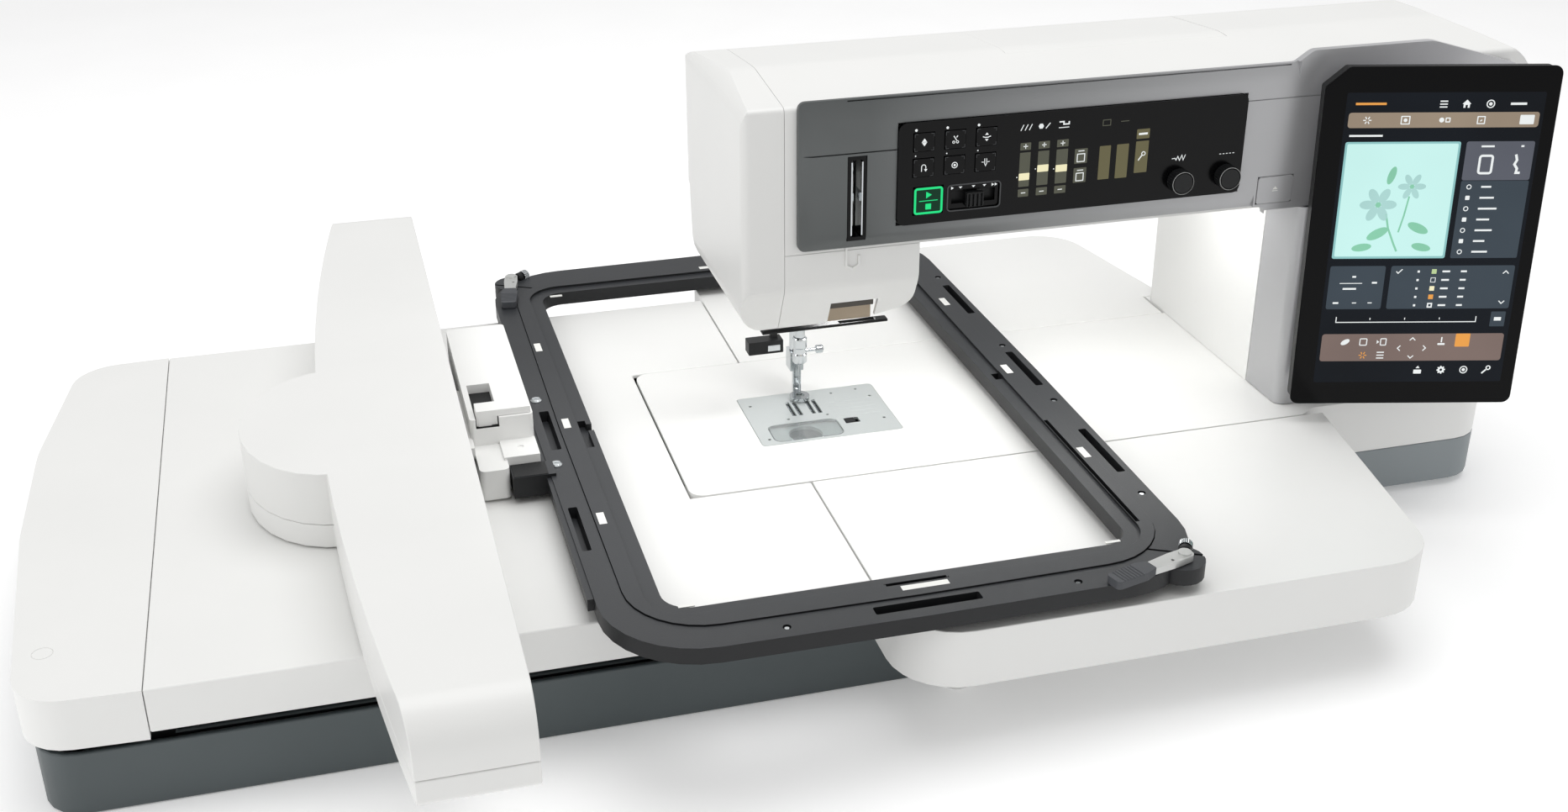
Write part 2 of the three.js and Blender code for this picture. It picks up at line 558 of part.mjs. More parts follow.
function makeCarriageArm() {
  const c = CARRIAGE;
  const side = [[c.y0, c.z0, 4], [c.y1, c.z0, 4], [c.y1, c.top, 24], [c.y0, c.top, 26]];
  const form = (d, z0, z1) => join(prismZ(carriagePlan(d), z0, z1), bulge(d, z0, z1))
    .intersect(prismX(outline(inset(side, d), 6), -450, -200));
  const slot = box(c.x1 - 6, c.x1 + 6, c.y0 + 12, c.y1 - 12, c.split - 1, c.split + 15);
  const cover = cut(form(0, c.split, c.top), form(WALL, c.split - 1, c.top), slot);
  node("carriage_arm_cover", cover, WHITE);

  const tray = cut(form(0, c.z0, c.split - GAP), form(WALL, c.z0 + WALL, c.split + 1));
  const bracket = join(
    box(-312, -268, -284, -266, 46.5, c.z0 + 1),
    box(-312, -268, -275, X_RAIL.y0 - GAP, 46.5, 51.5),
  );
  node("carriage_arm_tray", join(tray, bracket), WHITE);

  const r = Y_RAIL;
  const posts = [c.y0 + 8, c.y1 - 16].map((y) => box(r.x0, r.x1, y, y + 8, c.z0 + WALL + GAP, r.z0 + 1));
  node("y_rail", join(box(r.x0, r.x1, c.y0 + 8, c.y1 - 8, r.z0, r.z1), ...posts), STEEL);
}

// ---- hoop carriage and hoop -----------------------------------------------------------------
const BLOCK = { x0: -251, x1: -207.5, y0: -58, y1: 102, z0: 86, top: 128 };

function makeHoopCarriage() {
  const b = BLOCK;
  const body = cut(
    prismZ(rounded(b.x0, b.x1, b.y0, b.y1, 3), b.z0, b.top),
    box(-247, -231, b.y0, -1, b.top - 7, b.top + 5),
  );
  const step = box(-232, b.x1, -84, b.y0 + 1, b.z0, 110);
  const corner = prismZ(rounded(-250, -230, -97, b.y0 + 4, 4), b.z0, 108);
  const tongue = box(Y_RAIL.x1 + GAP, b.x0 + 1, -72, 22, Y_RAIL.z0, 114);
  node("hoop_carriage", join(body, step, corner, tongue), WHITE);

  const plate = box(-246, -209, -56, -42, b.top + GAP, b.top + 5);
  node("release_lever", join(plate, box(-245, -236, -56, -42, b.top - 6.5, b.top + 1)), WHITE);
}

function ringPlan([a, b], r, bow) {
  const { x, y } = HOOP;
  const corners = [
    [x - a, y - b, r], [x, y - b - bow], [x + a, y - b, r], [x + a + bow, y],
    [x + a, y + b, r], [x, y + b + bow], [x - a, y + b, r], [x - a - bow, y],
  ];
  return outline(corners, 8);
}

function makeHoop() {
  const h = HOOP;
  const clear = 0.35;
  const wider = h.gap.map((v) => v + clear);
  const top = h.top - 1;
  const nose = (s) => cylinder("z", [h.x + s * 169, h.y - s * 281], 15, h.bottom, top, 20);
  const body = join(
    prismZ(ringPlan(h.outer, 62, 2), h.bottom, top),
    box(-206.5, h.x - h.outer[0] + 6, -262, -60, 93, 101),
    box(-206.5, -198, -104, -20, 93, 101),
    box(-229, -200, -104, -84.6, 88.5, 104),
    nose(1),
    nose(-1),
  );
  node("hoop_outer_ring", cut(body, prismZ(ringPlan(wider, 50, 2), 80, 120)), CHARCOAL);
  node("hoop_inner_ring", cut(
    prismZ(ringPlan(h.gap, 50, 2), h.bottom - 1, h.top),
    prismZ(ringPlan(h.window, 18, 0), 80, 120),
  ), CHARCOAL);
}

// Cam levers at two opposite corners; each turns about an upright pin on the outer ring's corner.
function clampLever(name, pin, reach) {
  const along = new THREE.Vector2(...reach);
  const across = new THREE.Vector2(-along.y, along.x).normalize();
  const at = (s, t) => new THREE.Vector2(...pin).addScaledVector(along, s).addScaledVector(across, t);
  const side = [[0, 4.5], [0.55, 4], [0.6, 7], [0.94, 6.2], [1, 3]];
  const blade = [...side.map(([s, t]) => [s, -t]), ...side.toReversed()];
  const z = HOOP.top - 0.7;
  node(name, join(
    cylinder("z", pin, 6, z, z + 6, 20),
    prismZ(blade.map(([s, t]) => at(s, t)), z, z + 5),
  ), STEEL);
}

makeBase();
makeLowerCover();
makeColumn();
makeArm();
makeLid();
makeHead();
makeTrim();
makePanel();
makeScreen();
makeNeedleParts();
makeBobbinArea();
makeInside();
makeTables();
makeUnit();
makeCarriageArm();
makeHoopCarriage();
makeHoop();
clampLever("front_clamp_lever", [156, -318], [-57, -17]);
clampLever("rear_clamp_lever", [-183, 249], [-10, -58]);

const size = new THREE.Box3().setFromObject(machine, true);
const middle = size.getCenter(new THREE.Vector3());
machine.position.set(-middle.x, -middle.y, -size.min.z);

export default machine;
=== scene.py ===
"""Looks of the sewing and embroidery machine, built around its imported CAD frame.

Lengths in the code are millimetres from the needle: x along the bed, y to the back, z from the table.
"""
import json
import math

import bmesh
import bpy
from mathutils import Matrix, Vector


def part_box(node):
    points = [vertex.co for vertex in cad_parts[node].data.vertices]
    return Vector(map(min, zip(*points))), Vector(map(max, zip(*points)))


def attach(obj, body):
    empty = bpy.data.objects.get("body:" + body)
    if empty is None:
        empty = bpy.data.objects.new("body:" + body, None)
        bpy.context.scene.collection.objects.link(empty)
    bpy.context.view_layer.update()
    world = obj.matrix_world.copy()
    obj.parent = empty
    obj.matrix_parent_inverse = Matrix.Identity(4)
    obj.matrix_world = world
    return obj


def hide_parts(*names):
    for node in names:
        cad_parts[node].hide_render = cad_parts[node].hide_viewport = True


MM = 0.001
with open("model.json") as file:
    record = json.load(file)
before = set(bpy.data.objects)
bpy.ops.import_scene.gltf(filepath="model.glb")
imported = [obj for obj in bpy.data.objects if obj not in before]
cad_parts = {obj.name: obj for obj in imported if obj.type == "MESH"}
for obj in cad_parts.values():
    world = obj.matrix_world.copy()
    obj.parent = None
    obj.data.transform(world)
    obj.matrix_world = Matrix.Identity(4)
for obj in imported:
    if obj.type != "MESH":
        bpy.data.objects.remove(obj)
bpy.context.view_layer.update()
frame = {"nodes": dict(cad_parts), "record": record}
scene = bpy.context.scene
needle_lo, needle_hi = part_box("needle_bar")
NEEDLE = Vector(((needle_lo.x + needle_hi.x) / 2, (needle_lo.y + needle_hi.y) / 2, 0))
TO_ROW = Matrix.Translation(NEEDLE) @ Matrix.Scale(MM, 4)
BODY = {n: b for b, nodes in frame["record"]["behaviour"]["bodies"].items() for n in nodes}
SLOT = {s["node"]: s["material_slot"] for s in frame["record"]["subparts"]}


# ---- materials ----------------------------------------------------------------------------
def linear(code):
    parts = [int(code[i:i + 2], 16) / 255 for i in (0, 2, 4)]
    return [c / 12.92 if c <= 0.04045 else ((c + 0.055) / 1.055) ** 2.4 for c in parts]


DRIFT_SCALE, GRAIN_DEPTH = 9, 0.2 * MM
UNLIT = (0.004, 0.004, 0.004, 1)  # what a lit mark reflects
FAR_FROM, FAR_TO = 0.02, 0.42  # metres along the bed between the two colours of the trim


def material(name, colour, rough, metal=0.0, spread=0.04, grain=900, bump=0.02,
             stretch=(1, 1, 1), glow=0.0, far=None, clear=0.0, shine=0.5):
    """Procedural finish: broad colour drift, fine grain in the roughness and a shallow bump.
    far is a second colour that the first turns into along the bed."""
    mat = bpy.data.materials.new(name)
    mat.use_nodes = True
    nodes, links = mat.node_tree.nodes, mat.node_tree.links
    shader = nodes["Principled BSDF"]
    place = nodes.new("ShaderNodeTexCoord")
    scale = nodes.new("ShaderNodeMapping")
    scale.inputs["Scale"].default_value = stretch
    links.new(place.outputs["Object"], scale.inputs["Vector"])

    drift = nodes.new("ShaderNodeTexNoise")
    drift.inputs["Scale"].default_value = DRIFT_SCALE
    drift.inputs["Detail"].default_value = 3
    links.new(place.outputs["Object"], drift.inputs["Vector"])
    ramp = nodes.new("ShaderNodeValToRGB")
    base = linear(colour)
    ramp.color_ramp.elements[0].position = 0.3
    ramp.color_ramp.elements[1].position = 0.7
    ramp.color_ramp.elements[0].color = [c * (1 - spread) for c in base] + [1]
    ramp.color_ramp.elements[1].color = [min(c * (1 + spread), 1) for c in base] + [1]
    links.new(drift.outputs["Fac"], ramp.inputs["Fac"])
    tint = ramp.outputs["Color"]
    if far:
        split = nodes.new("ShaderNodeSeparateXYZ")
        links.new(place.outputs["Object"], split.inputs["Vector"])
        along = nodes.new("ShaderNodeMapRange")
        along.inputs["From Min"].default_value = FAR_FROM
        along.inputs["From Max"].default_value = FAR_TO
        links.new(split.outputs["X"], along.inputs["Value"])
        mix = nodes.new("ShaderNodeMix")
        mix.data_type = "RGBA"
        mix.inputs["B"].default_value = linear(far) + [1]
        links.new(along.outputs["Result"], mix.inputs["Factor"])
        links.new(tint, mix.inputs["A"])
        tint = mix.outputs["Result"]
    if glow:
        links.new(tint, shader.inputs["Emission Color"])
        shader.inputs["Emission Strength"].default_value = glow
        shader.inputs["Base Color"].default_value = UNLIT
    else:
        links.new(tint, shader.inputs["Base Color"])

    fine = nodes.new("ShaderNodeTexNoise")
    fine.inputs["Scale"].default_value = grain
    fine.inputs["Detail"].default_value = 2
    links.new(scale.outputs["Vector"], fine.inputs["Vector"])
    gloss = nodes.new("ShaderNodeMapRange")
    gloss.inputs["To Min"].default_value = rough * 0.85
    gloss.inputs["To Max"].default_value = min(rough * 1.15, 1)
    links.new(fine.outputs["Fac"], gloss.inputs["Value"])
    links.new(gloss.outputs["Result"], shader.inputs["Roughness"])
    relief = nodes.new("ShaderNodeBump")
    relief.inputs["Strength"].default_value = bump
    relief.inputs["Distance"].default_value = GRAIN_DEPTH
    links.new(fine.outputs["Fac"], relief.inputs["Height"])
    links.new(relief.outputs["Normal"], shader.inputs["Normal"])

    shader.inputs["Metallic"].default_value = metal
    shader.inputs["Transmission Weight"].default_value = clear
    shader.inputs["Specular IOR Level"].default_value = shine
    return mat


def lit(name, colour, level=1.0, spread=0.05):
    return material(name, colour, 0.3, spread=spread, grain=200, bump=0.0, glow=level, shine=0.1)


M = {
    "white_cover": material("white_cover", "eaeae8", 0.36, spread=0.012, bump=0.05),
    "grey_base": material("grey_base", "899093", 0.5, bump=0.15),
    "slate_base": material("slate_base", "495153", 0.42, bump=0.08),
    "metallic_trim": material("metallic_trim", "646767", 0.38, metal=0.55, spread=0.05, grain=2600,
                              bump=0.12, far="cacacc"),
    "black_gloss": material("black_gloss", "050506", 0.2, grain=300, bump=0.01, shine=0.18),
    "screen_glass": material("screen_glass", "030304", 0.12, grain=200, bump=0.004, shine=0.12),
    "black_matte": material("black_matte", "161718", 0.45, bump=0.15, shine=0.3),
    "steel": material("steel", "b4b8ba", 0.27, metal=1.0, grain=60, bump=0.06, stretch=(1, 40, 1)),
    "chrome": material("chrome", "c9cdcf", 0.13, metal=1.0, grain=300, bump=0.01),
    "cast_frame": material("cast_frame", "8f9193", 0.55, metal=0.8, bump=0.5),
    "clear_plastic": material("clear_plastic", "f0f5f5", 0.08, clear=0.85, grain=300, bump=0.01),
    "hoop_plastic": material("hoop_plastic", "2c2e31", 0.42, spread=0.1, grain=1400, bump=0.3, shine=0.45),
    # The next finish is a darker copy of the hoop plastic, painted on the hoop's sides as shade; the one
    # above stands for the top as lit from above.
    "hoop_side_shade": material("hoop_side_shade", "18191b", 0.45, spread=0.1, grain=1400, bump=0.3, shine=0.35),
}
PRINT = {
    "white": lit("lit_white", "eef2f2", 1.0),
    "dim": lit("lit_dim", "5b5c50", 0.9),
    "olive": lit("lit_olive", "6d684c", 0.9),
    "cream": lit("lit_cream", "f4edc4", 1.0),
    "green": lit("lit_green", "1fd67e", 1.15),
    "green_dark": lit("lit_green_dark", "0c3a26", 0.8),
    "ground": lit("lit_ground", "0a1018", 1.0, 0.3),
    "slate": lit("lit_slate", "3c464f", 1.0, 0.12),
    "slate_light": lit("lit_slate_light", "5c5f69", 1.0, 0.12),
    "tan": lit("lit_tan", "9a8a78", 1.0, 0.1),
    "brown": lit("lit_brown", "7d6c66", 1.0, 0.1),
    "cyan": lit("lit_cyan", "c9f3ee", 1.0, 0.04),
    "rim": lit("lit_rim", "8fc4c4", 1.0, 0.06),
    "leaf": lit("lit_leaf", "86c7a8", 1.0, 0.15),
    "petal": lit("lit_petal", "aad3cf", 1.0, 0.12),
    "amber": lit("lit_amber", "e9a04c", 1.0),
    "lime": lit("lit_lime", "b9cf98", 1.0),
    "outline": material("key_outline", "3c3e40", 0.4),
    "mark": material("white_mark", "e8e8e4", 0.5, bump=0.05),
    "plate": material("plate_steel", "d3d8d7", 0.3, metal=0.55, spread=0.02, grain=60, bump=0.05,
                      stretch=(1, 40, 1)),
    "lever": material("lever_metal", "c9cac8", 0.3, metal=0.5, grain=1200, bump=0.05),
    "holder": material("bobbin_holder", "d6dcda", 0.3, bump=0.03),
    "rubber": material("ribbed_grip", "45474b", 0.6, grain=1600, bump=0.4),
    "tan_inside": material("head_inside", "b9a892", 0.6, spread=0.08, bump=0.2),
    "strip": material("dark_strip", "55504a", 0.5, spread=0.08, bump=0.2),
}


# ---- solids -------------------------------------------------------------------------------
class Solid:
    """A closed mesh in millimetres from the needle. +, - and & join, cut and intersect."""

    def __init__(self, mesh):
        self.mesh = mesh

    def _with(self, other, operation):
        pair = [bpy.data.objects.new("work", s.mesh) for s in (self, other)]
        for o in pair:
            scene.collection.objects.link(o)
        step = pair[0].modifiers.new("step", "BOOLEAN")
        step.object, step.operation, step.solver = pair[1], operation, "MANIFOLD"
        graph = bpy.context.evaluated_depsgraph_get()
        made = bpy.data.meshes.new_from_object(pair[0].evaluated_get(graph))
        for o in pair:
            bpy.data.objects.remove(o)
        return Solid(made)

    def __add__(self, other):
        return self._with(other, "UNION")

    def __sub__(self, other):
        return self._with(other, "DIFFERENCE")

    def __and__(self, other):
        return self._with(other, "INTERSECT")

    def moved(self, matrix):
        mesh = self.mesh.copy()
        mesh.transform(matrix)
        return Solid(mesh)


def solid_of(bm):
    bmesh.ops.recalc_face_normals(bm, faces=bm.faces)
    mesh = bpy.data.meshes.new("solid")
    bm.to_mesh(mesh)
    bm.free()
    return Solid(mesh)


def cad(node):
    """The node's own solid, with its vertices merged."""
    bm = bmesh.new()
    bm.from_mesh(frame["nodes"][node].data)
    bm.transform(TO_ROW.inverted())
    bmesh.ops.remove_doubles(bm, verts=bm.verts, dist=1e-3)
    return solid_of(bm)


def outline(corners, steps=10):
    """A closed outline from corners (a, b, radius), with round corners as arcs."""
    points = []
    for i, (a, b, *r) in enumerate(corners):
        r = r[0] if r else 0
        corner = Vector((a, b))
        if not r:
            points.append(corner)
            continue
        u = (Vector(corners[i - 1][:2]) - corner).normalized()
        v = (Vector(corners[(i + 1) % len(corners)][:2]) - corner).normalized()
        half = u.angle(v) / 2
        centre = corner + (u + v).normalized() * (r / math.sin(half))
        start = corner + u * (r / math.tan(half)) - centre
        end = corner + v * (r / math.tan(half)) - centre
        turn = math.atan2(start.x * end.y - start.y * end.x, start.dot(end))
        for k in range(steps + 1):
            points.append(Matrix.Rotation(turn * k / steps, 2) @ start + centre)
    return points


def rounded(x0, x1, y0, y1, r, steps=8):
    return outline([(x0, y0, r), (x1, y0, r), (x1, y1, r), (x0, y1, r)], steps)


def loft(rings):
    """A closed skin over rings of 3-D points, all with the same number of points."""
    bm = bmesh.new()
    made = [[bm.verts.new(p) for p in ring] for ring in rings]
    n = len(made[0])
    for low, high in zip(made, made[1:]):
        for i in range(n):
            bm.faces.new((low[i], low[(i + 1) % n], high[(i + 1) % n], high[i]))
    bm.faces.new(reversed(made[0]))
    bm.faces.new(made[-1])
    return solid_of(bm)


ORDER = {"x": lambda a, b, c: (c, a, b), "y": lambda a, b, c: (a, c, b), "z": lambda a, b, c: (a, b, c)}


def prism(axis, points, lo, hi):
    """The outline lies in (y, z), (x, z) or (x, y) and runs along the named axis."""
    at = ORDER[axis]
    return loft([[at(a, b, c) for a, b in points] for c in (lo, hi)])


def box(x0, x1, y0, y1, z0, z1):
    return prism("z", [(x0, y0), (x1, y0), (x1, y1), (x0, y1)], z0, z1)


def circle(a, b, r, n=32, start=0.0):
    turn = [start + math.tau * k / n for k in range(n)]
    return [(a + r * math.cos(t), b + r * math.sin(t)) for t in turn]


def rod(axis, a, b, r, lo, hi, n=32):
    return prism(axis, circle(a, b, r, n), lo, hi)


def turned(axis, a, b, profile, n=40):
    """A body of revolution about an axis through (a, b): profile is (radius, height) pairs."""
    at = ORDER[axis]
    return loft([[at(u, v, c) for u, v in circle(a, b, r, n)] for r, c in profile])


# ---- pieces -------------------------------------------------------------------------------
def piece(name, solid, body, mat, hides=(), bevel=0.5, segments=2, angle=32, slot=None, paint=None):
    """Adds the solid as a visible piece with softened edges. paint picks a second material by face, for a
    second colour or for painted shade.
    """
    bm = bmesh.new()
    bm.from_mesh(solid.mesh)
    bmesh.ops.remove_doubles(bm, verts=bm.verts, dist=2e-3)
    bmesh.ops.dissolve_limit(bm, angle_limit=math.radians(0.4), verts=bm.verts, edges=bm.edges)
    bm.transform(TO_ROW)
    mesh = bpy.data.meshes.new(name)
    bm.to_mesh(mesh)
    bm.free()
    obj = bpy.data.objects.new(name, mesh)
    scene.collection.objects.link(obj)
    if bevel:
        soft = obj.modifiers.new("edges", "BEVEL")
        soft.width, soft.segments = bevel * MM, segments
        soft.limit_method, soft.angle_limit = "ANGLE", math.radians(angle)
        graph = bpy.context.evaluated_depsgraph_get()
        made = bpy.data.meshes.new_from_object(obj.evaluated_get(graph))
        obj.modifiers.clear()
        obj.data = made
    made = obj.data
    made.name = name
    made.shade_smooth()
    made.set_sharp_from_angle(angle=math.radians(38))
    obj.modifiers.new("normals", "WEIGHTED_NORMAL").keep_sharp = True
    made.materials.clear()
    made.materials.append(mat)
    if paint:
        second, chooses = paint
        made.materials.append(second)
        for face in made.polygons:
            face.material_index = int(chooses((Vector(face.center) - NEEDLE) / MM, face.normal))
    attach(obj, body)
    if hides:
        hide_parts(*hides)
    return obj


done = set()


def dress(node, solid=None, **kind):
    """Shows a node as a refined piece: its own solid unless a better one is given."""
    done.add(node)
    kind.setdefault("mat", M[SLOT[node]])
    return piece(node + "_look", solid or cad(node), BODY[node], hides=[node], slot=SLOT[node], **kind)


def band(axis, outer, inner, lo, hi):
    """A closed ring between two outlines that have the same number of points."""
    at = ORDER[axis]
    bm = bmesh.new()
    loops = [[bm.verts.new(at(a, b, c)) for a, b in points]
             for points, c in ((outer, lo), (outer, hi), (inner, hi), (inner, lo))]
    n = len(loops[0])
    for k, loop in enumerate(loops):
        after = loops[(k + 1) % 4]
        for i in range(n):
            bm.faces.new((loop[i], loop[(i + 1) % n], after[(i + 1) % n], after[i]))
    return solid_of(bm)


def gather(solids):
    """One mesh of several closed solids that do not touch."""
    bm = bmesh.new()
    for solid in solids:
        bm.from_mesh(solid.mesh)
    mesh = bpy.data.meshes.new("gathered")
    bm.to_mesh(mesh)
    bm.free()
    return Solid(mesh)


def stroke(points, width):
    """The outline of a line of even width through the points."""
    p = [Vector(q) for q in points]
    left, right = [], []
    for i, q in enumerate(p):
        before = (q - p[i - 1]).normalized() if i else (p[1] - q).normalized()
        after = (p[i + 1] - q).normalized() if i + 1 < len(p) else before
        normal = Vector((-before.y - after.y, before.x + after.x)).normalized()
        reach = width / 2 / max(normal.dot(Vector((-before.y, before.x))), 0.4)
        left.append(q + normal * reach)
        right.append(q - normal * reach)
    return left + right[::-1]


def arc(a, b, r, start, end, n=12):
    return [(a + r * math.cos(math.radians(start + (end - start) * k / n)),
             b + r * math.sin(math.radians(start + (end - start) * k / n))) for k in range(n + 1)]


def ellipse(a, b, ra, rb, turn=0.0, n=20):
    spin = Matrix.Rotation(math.radians(turn), 2)
    return [spin @ Vector((ra * math.cos(math.tau * k / n), rb * math.sin(math.tau * k / n)))
            + Vector((a, b)) for k in range(n)]


def shifted(shapes, a, b, k=1.0):
    """Moves outlines and rings (pairs of outlines) by (a, b) after scaling by k."""
    def move(points):
        return [(a + p[0] * k, b + p[1] * k) for p in points]
    return [(move(s[0]), move(s[1])) if isinstance(s, tuple) else move(s) for s in shapes]


def printed(name, shapes, body, mat, front, thick=0.12, place=None):
    """Thin flat shapes facing -y, standing just proud of a face at y = front."""
    solids = [band("y", s[0], s[1], front - thick, front + 0.2) if isinstance(s, tuple)
              else prism("y", s, front - thick, front + 0.2) for s in shapes]
    solid = gather(solids)
    if place:
        solid = solid.moved(place)
    return piece(name, solid, body, mat, bevel=0)


def frame_of(x0, x1, z0, z1, r, w):
    return (rounded(x0, x1, z0, z1, r, 5), rounded(x0 + w, x1 - w, z0 + w, z1 - w, max(r - w, 0.2), 5))


def ring_of(a, b, r, w, n=24):
    return (circle(a, b, r, n), circle(a, b, r - w, n))


# Small pictures, each about 6 mm across, in outlines about their middle.
UP = [(0, 3.2), (-2, 0.5), (2, 0.5)]
DOWN = [(0, -3.2), (2, -0.5), (-2, -0.5)]
ICONS = {
    "needle_up_down": [UP, DOWN, stroke([(-2.2, 0), (2.2, 0)], 0.5)],
    "scissors": [stroke([(-1.7, 3.2), (0.9, -0.6)], 0.7), stroke([(1.7, 3.2), (0.75, 1.8)], 0.7),
                 ring_of(-1.6, -2.0, 1.2, 0.5, 16), ring_of(1.6, -2.0, 1.2, 0.5, 16)],
    "foot_lift": [stroke([(-3.4, 0.3), (-1.2, -0.4), (1.2, -0.4), (3.4, 0.5)], 0.7),
                  [(0, 3.6), (-1.5, 1.6), (1.5, 1.6)], [(0, -3.6), (1.5, -1.8), (-1.5, -1.8)]],
    "reverse": [stroke([(-1.8, -3)] + arc(0, 0.8, 1.8, 180, 0) + [(1.8, -0.8)], 0.6),
                [(1.8, -3.2), (3.2, -1.1), (0.4, -1.1)]],
    "lock": [ring_of(0, 0, 2.6, 0.6), circle(0, 0, 1.0, 16)],
    "trim_stop": [stroke([(-0.9, 3.2), (-0.9, -1), (0, -3), (0.9, -1), (0.9, 3.2)], 0.5),
                  stroke([(-3.4, 0.4), (-1.6, 0.2)], 0.5), stroke([(1.6, 0.2), (3.4, 0.4)], 0.5)],
}
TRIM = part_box("front_trim")
FRONT = (TRIM[0].y - NEEDLE.y) / MM  # front face of the trim
BORDER_DROP = 3  # how far the trim's border falls back
FACE = -105.0  # front face of the black control panel
KEY_FACE = FACE - 0.8
KEYS = [(x, z) for z in (313.3, 295.8) for x in (54.6, 76.3, 98.2)]


# ---- arm, head and trim -----------------------------------------------------------------------
def sloped_border(axis, inner, outer, lo, hi):
    """A wedge that makes the trim's face fall back from the inner line to the outer one."""
    corners = [(FRONT - 1, inner), (FRONT, inner), (FRONT + BORDER_DROP, outer), (FRONT - 1, outer)]
    if axis == "z":
        corners = [(x, y) for y, x in corners]
    return prism(axis, corners, lo, hi)


def groove(x0, x1, z, depth, width=0.9):
    """Cuts a level parting line into the trim's face."""
    return box(x0, x1, FRONT - 1, FRONT + depth, z, z + width)


trim = cad("front_trim") - sloped_border("x", 333.5, 346, -40, 328)
trim = trim - sloped_border("x", 252, 242, -40, 303.5) - sloped_border("z", -21, -31, 230, 360)
trim = trim - groove(-31, 36.8, 308.6, 1.8) - groove(290.3, 347, 320.6, 0.8) - groove(3, 322, 343.2, 4)
dress("front_trim", trim, bevel=0.5, segments=2)
dress("column_trim", bevel=2.0, segments=3)
dress("face_cover", bevel=5.0, segments=5, angle=28)
dress("arm_cover", bevel=1.4, segments=3, angle=30)
dress("top_lid", bevel=0.5)
dress("lower_cover", bevel=1.6, segments=3)
dress("column_cover", bevel=1.2, segments=3)
dress("machine_base", bevel=1.0, segments=3)

notch = box(-3, 31, -110, -66, 170, 198.5)
dress("needle_area_cover", cad("needle_area_cover") - notch, bevel=1.6, segments=3, angle=30)
piece("head_inner_strip", box(-2.6, 30.6, -79.5, -76, 190.5, 198), "machine", PRINT["strip"], bevel=0.6)
piece("head_inner_plate", box(-2.6, 30.6, -73, -70.5, 178.5, 190), "machine", PRINT["tan_inside"], bevel=0.3)
piece("head_thread_guide", box(-48, 43, -75, -68, 174.4, 176.4) - box(8, 34, -73.4, -69.6, 170, 180),
      "machine", M["black_matte"], bevel=0.7)
hook_line = stroke([(4.6, 246.5), (4.6, 229), (9, 226.5), (13.6, 229), (13.6, 236)], 1.6)
piece("thread_hook", prism("y", hook_line, -98.6, -97.1), "machine", M["white_cover"], bevel=0.4)
dress("thread_channel", bevel=0.4)
piece("channel_guide", gather([box(x, x + 1, -103, -90, 252, 303) for x in (5.6, 12.9)]), "machine",
      M["chrome"], bevel=0.2)

# ---- control panel ------------------------------------------------------------------------------
dress("control_panel", bevel=0.6, segments=3)
for n, ((x, z), icon) in enumerate(zip(KEYS, ICONS.values()), 1):
    dress(f"function_key_{n}", bevel=0.4, mat=M["black_gloss"])
    printed(f"key_{n}_picture", shifted(icon, x, z, 0.82), f"key_{n}", PRINT["white"], KEY_FACE)
    corners = [stroke([(sx * 4.6, sz * 5.7), (sx * 6.6, sz * 5.7), (sx * 6.6, sz * 3.6)], 0.35)
               for sx in (-1, 1) for sz in (-1, 1)]
    printed(f"key_{n}_corners", shifted(corners, x, z), f"key_{n}", PRINT["outline"], KEY_FACE)
dots = [(x - 5.6, z + 8.3, r) for (x, z), r in zip(KEYS, (0.9, 0.9, 0.9, 0.45, 0.45, 0.45))]
printed("key_lamps", [circle(a, b, r, 14) for a, b, r in dots], "machine", PRINT["white"], FACE)

dress("start_stop_button", bevel=0.4)
start_glyph = [stroke([(52.2, 272.7), (65.2, 272.7)], 0.5), [(57, 274.4), (61, 276.7), (57, 279)],
               rounded(56.7, 60.7, 266.6, 270.6, 0.3, 2)]
printed("start_frame", [frame_of(48.6, 68.8, 263.4, 282.0, 2.2, 1.5)], "start_button", PRINT["green"],
        KEY_FACE)
printed("start_glass", [rounded(50.4, 67.0, 265.2, 280.2, 1, 3)], "start_button", PRINT["green_dark"],
        KEY_FACE, 0.05)
printed("start_picture", start_glyph, "start_button", PRINT["green"], KEY_FACE)

SLIDER_X, SLIDER_Z = (73.2, 109.3), (264.2, 280.8)  # the speed slider's bed
SLIDER_FACE = -103.6
piece("slider_bed", prism("y", rounded(*SLIDER_X, *SLIDER_Z, 2), SLIDER_FACE, -102.2)
      - box(75.8, 106.7, -110, -100, 268, 276.8), "machine", M["black_gloss"], bevel=0.2)
printed("slider_frame", [frame_of(72, 110.5, 263, 282, 3, 0.9)], "machine", PRINT["outline"], FACE, 0.2)
piece("slider_back", box(*SLIDER_X, -99.3, -98.3, *SLIDER_Z), "machine", M["black_matte"], bevel=0)
ribs = [box(x, x + 1.3, -108, -106.4, 266.4, 275.2) for x in (86.2, 89.1, 92.1, 95.0)]
dress("speed_slider", cad("speed_slider") - box(80, 100, -110, -90, 276, 290) - gather(ribs), bevel=0.25)
printed("slider_marks", [[(x, 278.0), (x, 280.0), (x + 1.8, 279.0)] for x in (75.4, 104.2, 106.4)]
        + [[(x, 278.3), (x + 1.2, 279.6), (x - 1.2, 279.6)] for x in (82, 91.2, 99)],
        "machine", PRINT["white"], SLIDER_FACE)

# Three level displays, each a bar with a plus above and a minus below: left edge, right edge and the
# height at which its level stands.
COLUMNS = ((122.9, 130.5, 280.3), (136.0, 144.0, 285.1), (149.3, 157.6, 283.9))


def bar(x0, x1, z0, z1):
    return rounded(x0, x1, z0, z1, 0.4, 2)


